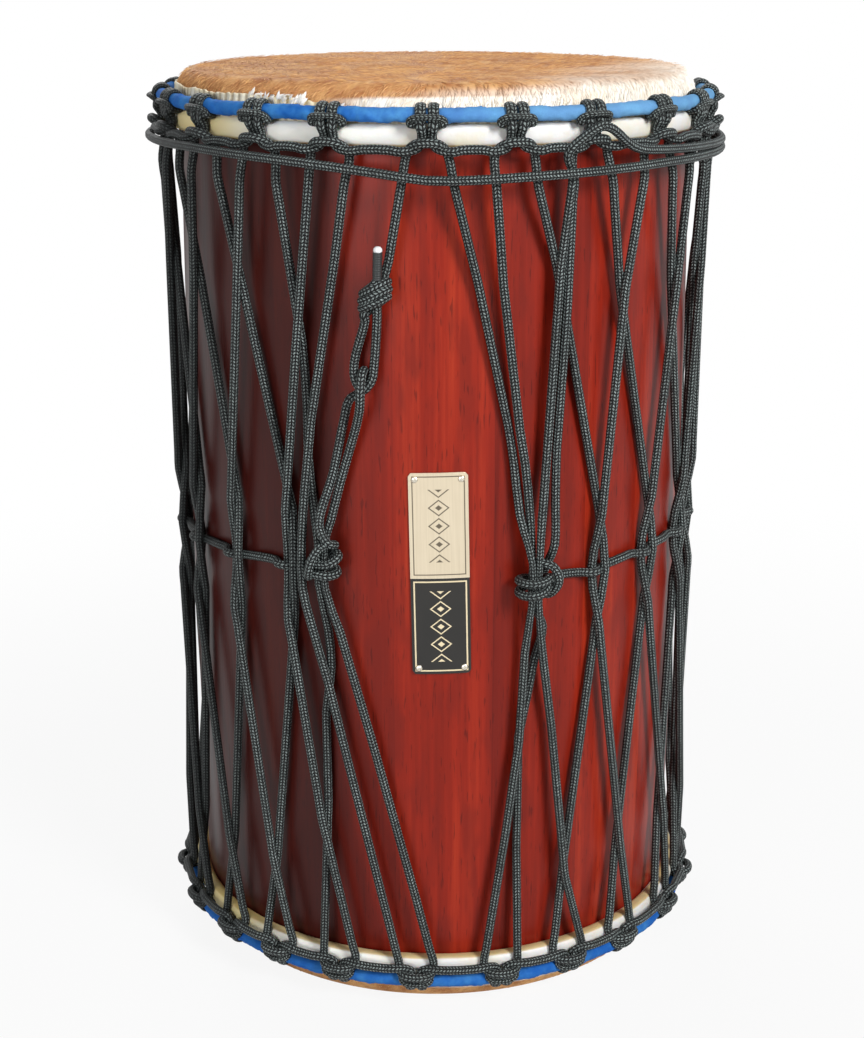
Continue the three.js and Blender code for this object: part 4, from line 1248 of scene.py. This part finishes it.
# The tail's knot has a strand up its left side over two level turns, and the belt's has two
TAIL_WRAPS = [
    (0.0062, 0.0125, -0.0135), (0.0084, 0.007, -0.0112), (0.004, 0.0026, -0.0085),
    (-0.0045, 0.0024, -0.0035), (-0.0086, 0.007, 0.0035), (-0.0062, 0.0134, 0.0088),
    (-0.0036, 0.0182, 0.0035), (-0.0012, 0.0182, -0.0042), (0.0022, 0.0148, -0.0106),
    (0.0066, 0.0085, -0.0118), (0.004, 0.0026, -0.0072), (-0.004, 0.0026, -0.0012),
    (-0.0074, 0.0085, 0.0008), (-0.0036, 0.0132, 0.0006), (0.0015, 0.014, 0.0004),
    (0.0072, 0.0134, -0.0006), (0.0108, 0.0085, -0.0036), (0.0074, 0.0028, -0.0046),
    (0, 0.0022, 0.0012), (-0.0074, 0.006, 0.0062), (-0.0048, 0.0122, 0.0074),
    (0.0006, 0.0142, 0.0068), (0.0062, 0.0134, 0.0072), (0.0098, 0.0082, 0.0066),
    (0.0066, 0.0026, 0.0054), (-0.001, 0.0016, 0.0056), (-0.0072, 0.0022, 0.0076),
]
BELT_WRAPS = [
    (0.012, 0.006, 0.0045), (0.006, 0.004, 0.004), (0, 0.0004, 0.002), (-0.008, 0.0048, 0.0006),
    (-0.0088, 0.0122, 0), (-0.0036, 0.0174, 0.0002), (0.003, 0.0174, -0.0006),
    (0.008, 0.013, -0.0014), (0.0078, 0.006, 0.001), (0, 0.0008, 0.0054),
    (-0.008, 0.0048, 0.0076), (-0.0088, 0.0122, 0.008), (-0.0036, 0.0172, 0.008),
    (0.003, 0.017, 0.0066), (0.0074, 0.013, 0.0044), (0.0072, 0.007, 0.0058), (0, 0.003, 0.008),
]


def waist_turn():
    """Leaves the tail's knot to the left, weaves round the drum and ends in the belt's knot."""
    first, last = -2, 2 - HITCHES
    places = tied(TAIL_KNOT, TAIL_KNOT_DEPTH, TAIL_WRAPS)
    places.append((TAIL_KNOT - 3.6, NEAR + SEAT, waist_at(first)))
    for index in range(first, last - 1, -1):
        side, depth = twist_at(index), waist_at(index)
        places += [(side + WEAVE, NEAR, depth), (side - WEAVE, FAR, depth),
                   (side - 2.4 * WEAVE, FAR, depth), (side - 4.4 * WEAVE, NEAR, depth)]
        if index > last:
            places.append((side - HITCH_PITCH / 2, NEAR + TWIST_LIFT, depth))
    places.append((BELT_KNOT - 360 + 6.2, NEAR, WAIST_DEPTH - 0.002))
    return places + tied(BELT_KNOT - 360, BELT_KNOT_DEPTH, BELT_WRAPS)


def lacing_stations():
    stations = route(START_OF_LACING)
    for index in range(HITCHES):
        stations += bight_stations(TOP, index)
        stations += route(RIGHT_LEANING.get(index) or leg(index, 1))
        stations += bight_stations(BOTTOM, index + 1)
        if index + 1 < HITCHES:
            stations += route(LEFT_LEANING.get(index + 1) or leg(index + 1, -1))[::-1]
    return stations + route(TAIL_UP + waist_turn())


rope_along("braided_lacing", lacing_stations(), "lacing_rope")

# Collar rope: up from the waist knot, over the third hitch, then about one and a third times
# round the outside of the legs, a little lower at the end than at the start. Its depths are
# given where it has gone past so many hitches.
COLLAR_START = 3
COLLAR_END = 32
COLLAR_DEPTHS = [(3, 0.0242), (4, 0.0262), (5, 0.0272), (8, 0.0268), (14, 0.0262), (17, 0.0248),
                 (19, 0.0238), (20, 0.0252), (21, 0.0282), (22, 0.0352), (22.5, 0.0352),
                 (23, 0.0342), (24, 0.0328), (25, 0.0315), (28, 0.0325), (32, 0.0332)]
RISER_LOOP = [
    (0.001, 0.006, -0.01), (0.005, 0.0125, -0.0108), (0.0098, 0.0152, -0.0085),
    (0.013, 0.0158, -0.0012), (0.0124, 0.013, 0.0062), (0.009, 0.008, 0.0108),
    (0.0085, 0.0012, 0.0074), (0.0098, 0.0002, 0.001), (0.0118, 0.004, -0.009),
    (0.0133, 0.0088, -0.021),
]


def collar_depth(hitches):
    for (first, upper), (last, lower) in zip(COLLAR_DEPTHS, COLLAR_DEPTHS[1:]):
        if first <= hitches <= last:
            depth = upper + (lower - upper) * (hitches - first) / (last - first)
    return depth


def collar_places():
    over = hitch_angle(TOP, 2)
    places = tied(BELT_KNOT, BELT_KNOT_DEPTH, RISER_LOOP)
    places += [
        (24.5, FAR, 0.23), (24.5, FAR, 0.2), (25.8, IN_FRONT_LEG, 0.112), (26.3, UNDER_COLLAR, 0.05),
        (26.4, UNDER_COLLAR + 0.0008, 0.036), (over - 6.2, 0.0135, 0.022),
        (over - 3.2, 0.0164, 0.0122), (over, 0.0174, 0.0074), (over + 2.4, 0.0171, 0.0096),
        (over + 4.6, 0.0165, 0.0146), (over + 6.8, 0.0162, 0.0192), (over + 9.5, 0.016, 0.022),
        (over + 13, 0.0158, 0.0232),
    ]
    for hitches in (half / 2 for half in range(2 * COLLAR_START, 2 * COLLAR_END)):
        angle = TOP["phase"] + HITCH_PITCH * hitches + TOP["nudges"].get(hitches % HITCHES, 0)
        places.append((angle, OVER_COLLAR, collar_depth(hitches)))
    return places


rope_along("braided_collar", route(collar_places()), "collar_rope")

# Rope tip: the lacing's first end, bound with thin thread so it can't fray, and closed with a
# bead of white melted fibre.
TIP_LENGTH = 0.0165
TIP_THREADS = 12
THREAD_RIDGE_RADIUS = 0.00296
THREAD_GROOVE_RADIUS = 0.00254
TIP_START = route([TIP_PLACE])[0][0]
TIP_LEAN = Vector((0.03, -0.04, 1.0)).normalized()


def bound_tip():
    thread = TIP_LENGTH / TIP_THREADS
    profile = [(0, 0)]
    for number in range(TIP_THREADS):
        for radius, share in ((THREAD_GROOVE_RADIUS, 0.1), (THREAD_RIDGE_RADIUS, 0.5),
                              (THREAD_GROOVE_RADIUS, 0.9)):
            profile.append((radius, (number + share) * thread))
    return profile + [(0.0025, TIP_LENGTH), (0, TIP_LENGTH)]


def melted_bead():
    bead = [(0, 0), (0.0024, 0), (0.00262, 0.0008), (0.0024, 0.0022), (0.0015, 0.0031), (0, 0.0034)]
    return [(radius, TIP_LENGTH + height) for radius, height in bead]


def black_thread():
    finish = Finish("black_thread")
    fibre = speckle(finish.place, 1800, 2, 0.5)
    return finish.made({"Base Color": fibre.mix(ink(9, 10, 11), ink(40, 45, 45)),
                        "Roughness": 0.5, "Normal": relief(fibre, 0.0001)})


def white_melt():
    finish = Finish("white_melt")
    cloud = speckle(finish.place, 700, 2, 0.5)
    return finish.made({"Base Color": cloud.mix(ink(214, 218, 220), ink(250, 250, 250)),
                        "Roughness": 0.3})


def stood_at(piece, spot, direction):
    """The piece's own origin comes to the spot, and its z axis points in the direction."""
    turn = direction.to_track_quat("Z", "Y").to_matrix().to_4x4()
    piece.data.transform(Matrix.Translation(spot) @ turn)
    return piece


for piece_name, profile, finish in (("bound_tip", bound_tip(), black_thread()),
                                    ("melted_bead", melted_bead(), white_melt())):
    piece = stood_at(turned(piece_name, profile, sides=32), TIP_START, TIP_LEAN)
    placed(piece, finish, "rope")

# Badge plate: thin sheet pressed to the shell's curve, its upper field bare metal and its lower
# field black enamel. Each has a ruled border and a row of plain lozenges.
PLATE_WIDTH = 0.036
PLATE_HEIGHT = 0.129
PLATE_THICKNESS = 0.001
PLATE_CENTRE_HEIGHT = 0.297
PLATE_TURN = 0.9
PLATE_LEAN = math.radians(1.2)
PLATE_CORNER = 0.0022
PLATE_SPLIT = -0.0022
PLATE_COLUMNS, PLATE_ROWS = 24, 64
PLATE_EDGE_BEVEL = 0.00022
LOZENGE_PITCH = 0.0115
LOZENGE_SIZE = 0.0048
LOZENGE_ROW_REACH = 0.023
SHELL_BELLY_RADIUS = SHELL_END_RADIUS + SHELL_BELLY


def on_plate(across, up, lift):
    along = across * math.cos(PLATE_LEAN) - up * math.sin(PLATE_LEAN)
    height = PLATE_CENTRE_HEIGHT + up * math.cos(PLATE_LEAN) + across * math.sin(PLATE_LEAN)
    degrees = PLATE_TURN + math.degrees(along / SHELL_BELLY_RADIUS)
    return around_drum(degrees, SHELL_BELLY_RADIUS + SEAT + lift, height)


def bent_plate():
    """A grid with cut corners, bent round the shell, with its flat coordinates as its UV map."""
    bm = bmesh.new()
    flat = bm.loops.layers.uv.new("plate_map")
    corners, spots = {}, {}
    for layer, lift in enumerate((0.0, PLATE_THICKNESS)):
        for column in range(PLATE_COLUMNS + 1):
            across = PLATE_WIDTH * (column / PLATE_COLUMNS - 0.5)
            cut = max(0.0, PLATE_CORNER - (PLATE_WIDTH / 2 - abs(across)))
            rounding = PLATE_CORNER - math.sqrt(max(0, PLATE_CORNER ** 2 - cut ** 2))
            for row in range(PLATE_ROWS + 1):
                up = (PLATE_HEIGHT / 2 - rounding) * (2 * row / PLATE_ROWS - 1)
                corner = bm.verts.new(on_plate(across, up, lift))
                corners[layer, column, row] = corner
                spots[corner] = (across, up)

    def face(*keys):
        for loop in bm.faces.new([corners[key] for key in keys]).loops:
            loop[flat].uv = spots[loop.vert]
    for layer in (0, 1):
        for column in range(PLATE_COLUMNS):
            for row in range(PLATE_ROWS):
                face((layer, column, row), (layer, column + 1, row),
                     (layer, column + 1, row + 1), (layer, column, row + 1))
    rim = [(column, 0) for column in range(PLATE_COLUMNS)]
    rim += [(PLATE_COLUMNS, row) for row in range(PLATE_ROWS)]
    rim += [(column, PLATE_ROWS) for column in range(PLATE_COLUMNS, 0, -1)]
    rim += [(0, row) for row in range(PLATE_ROWS, 0, -1)]
    for here, there in zip(rim, rim[1:] + rim[:1]):
        face((0, *here), (0, *there), (1, *there), (1, *here))
    plate = in_scene("two_field_plate", mesh_of("two_field_plate", bm))
    bevel = plate.modifiers.new("worn_edges", "BEVEL")
    bevel.width = PLATE_EDGE_BEVEL
    bevel.segments = 2
    bevel.limit_method = "ANGLE"
    bevel.angle_limit = math.radians(50)
    return plate


def ruled_border(across, up, middle, half_height, inset, line):
    """One on a thin line, inset from the rim of a field, and nought elsewhere."""
    sideways = abs(across) - (PLATE_WIDTH / 2 - inset)
    upright = abs(up - middle) - (half_height - inset)
    return abs(sideways.math("MAXIMUM", upright)).eased(line, line * 0.5)


def lozenges(across, up, middle):
    """A row of outlined lozenges with a dot in each, up the middle of a field."""
    cell = (up - middle) * (1 / LOZENGE_PITCH) + 40.5
    local = (cell.math("FRACT") - 0.5) * LOZENGE_PITCH
    span = abs(across) * 0.8 + abs(local)
    outline = abs(span - LOZENGE_SIZE).eased(0.0006, 0.0003)
    dot = span.eased(LOZENGE_SIZE * 0.42, LOZENGE_SIZE * 0.3)
    return outline.math("MAXIMUM", dot) * abs(up - middle).math("LESS_THAN", LOZENGE_ROW_REACH)


def plate_finish():
    finish = Finish("plate_finish")
    flat = Wire(node(finish.tree, "ShaderNodeUVMap", uv_map="plate_map"))
    across, up, _ = axes(flat)
    enamel = up.math("LESS_THAN", PLATE_SPLIT)
    brushed = speckle(flat, 900, 2, 0.6, (1, 0.02, 1))
    cloud = speckle(flat, 40, 2, 0.5)

    def drawn(far_end, inset, line):
        """The border and the lozenges of the field from the split to one end of the plate."""
        middle, half_height = (far_end + PLATE_SPLIT) / 2, abs(far_end - PLATE_SPLIT) / 2
        border = ruled_border(across, up, middle, half_height, inset, line)
        return border.math("MAXIMUM", lozenges(across, up, middle))
    metal = brushed.mix(ink(196, 180, 152), ink(226, 212, 186))
    metal = (cloud * 0.3).mix(metal, ink(240, 230, 208))
    metal = (drawn(PLATE_HEIGHT / 2, 0.0024, 0.00045) * 0.85).mix(metal, ink(60, 50, 38))
    black = cloud.mix(ink(20, 19, 17), ink(34, 32, 28))
    black = drawn(-PLATE_HEIGHT / 2, 0.0022, 0.0006).mix(black, ink(222, 206, 170))
    return finish.made({"Base Color": enamel.mix(metal, black), "Metallic": (1 - enamel) * 0.55,
                        "Roughness": brushed * 0.2 + 0.24, "Normal": relief(brushed, 0.00002)})


placed(bent_plate(), plate_finish(), "plate_metal", "badge_plate")

# Nails: four small round-headed nails through the plate's corners, polished and slightly
# tarnished in spots.
NAIL_INSET = 0.004
NAIL_HEAD_RADIUS = 0.0022
NAIL_HEAD_HEIGHT = 0.0013
NAIL_SHANK_RADIUS = 0.0008
NAIL_POINT_LENGTH = 0.0015
NAIL_LENGTH = 0.009
NAIL_SEAT = 0.00005


def nail_profile():
    dome = arc((0, 0), (NAIL_HEAD_RADIUS, NAIL_HEAD_HEIGHT), 90, 6, 8)
    dome[0] = (0, NAIL_HEAD_HEIGHT)
    shank = [(NAIL_HEAD_RADIUS, 0), (NAIL_SHANK_RADIUS, 0),
             (NAIL_SHANK_RADIUS, NAIL_POINT_LENGTH - NAIL_LENGTH), (0, -NAIL_LENGTH)]
    return dome + shank


def polished_nail():
    finish = Finish("polished_nail")
    tarnish = speckle(finish.place, 1600, 3, 0.6).eased(0.45, 0.75)
    return finish.made({"Base Color": tarnish.mix(ink(226, 220, 206), ink(150, 132, 100)),
                        "Roughness": 0.24, "Metallic": 1.0})


nail_finish = polished_nail()
for number, (side, level) in enumerate([(-1, -1), (1, -1), (1, 1), (-1, 1)], start=1):
    spot = on_plate(side * (PLATE_WIDTH / 2 - NAIL_INSET), level * (PLATE_HEIGHT / 2 - NAIL_INSET),
                    PLATE_THICKNESS + NAIL_SEAT)
    nail = stood_at(turned(f"round_nail_{number}", nail_profile(), sides=24), spot,
                    away_from_axis(spot))
    placed(nail, nail_finish, "nail_metal", f"badge_nail_{number}")

bpy.context.view_layer.update()
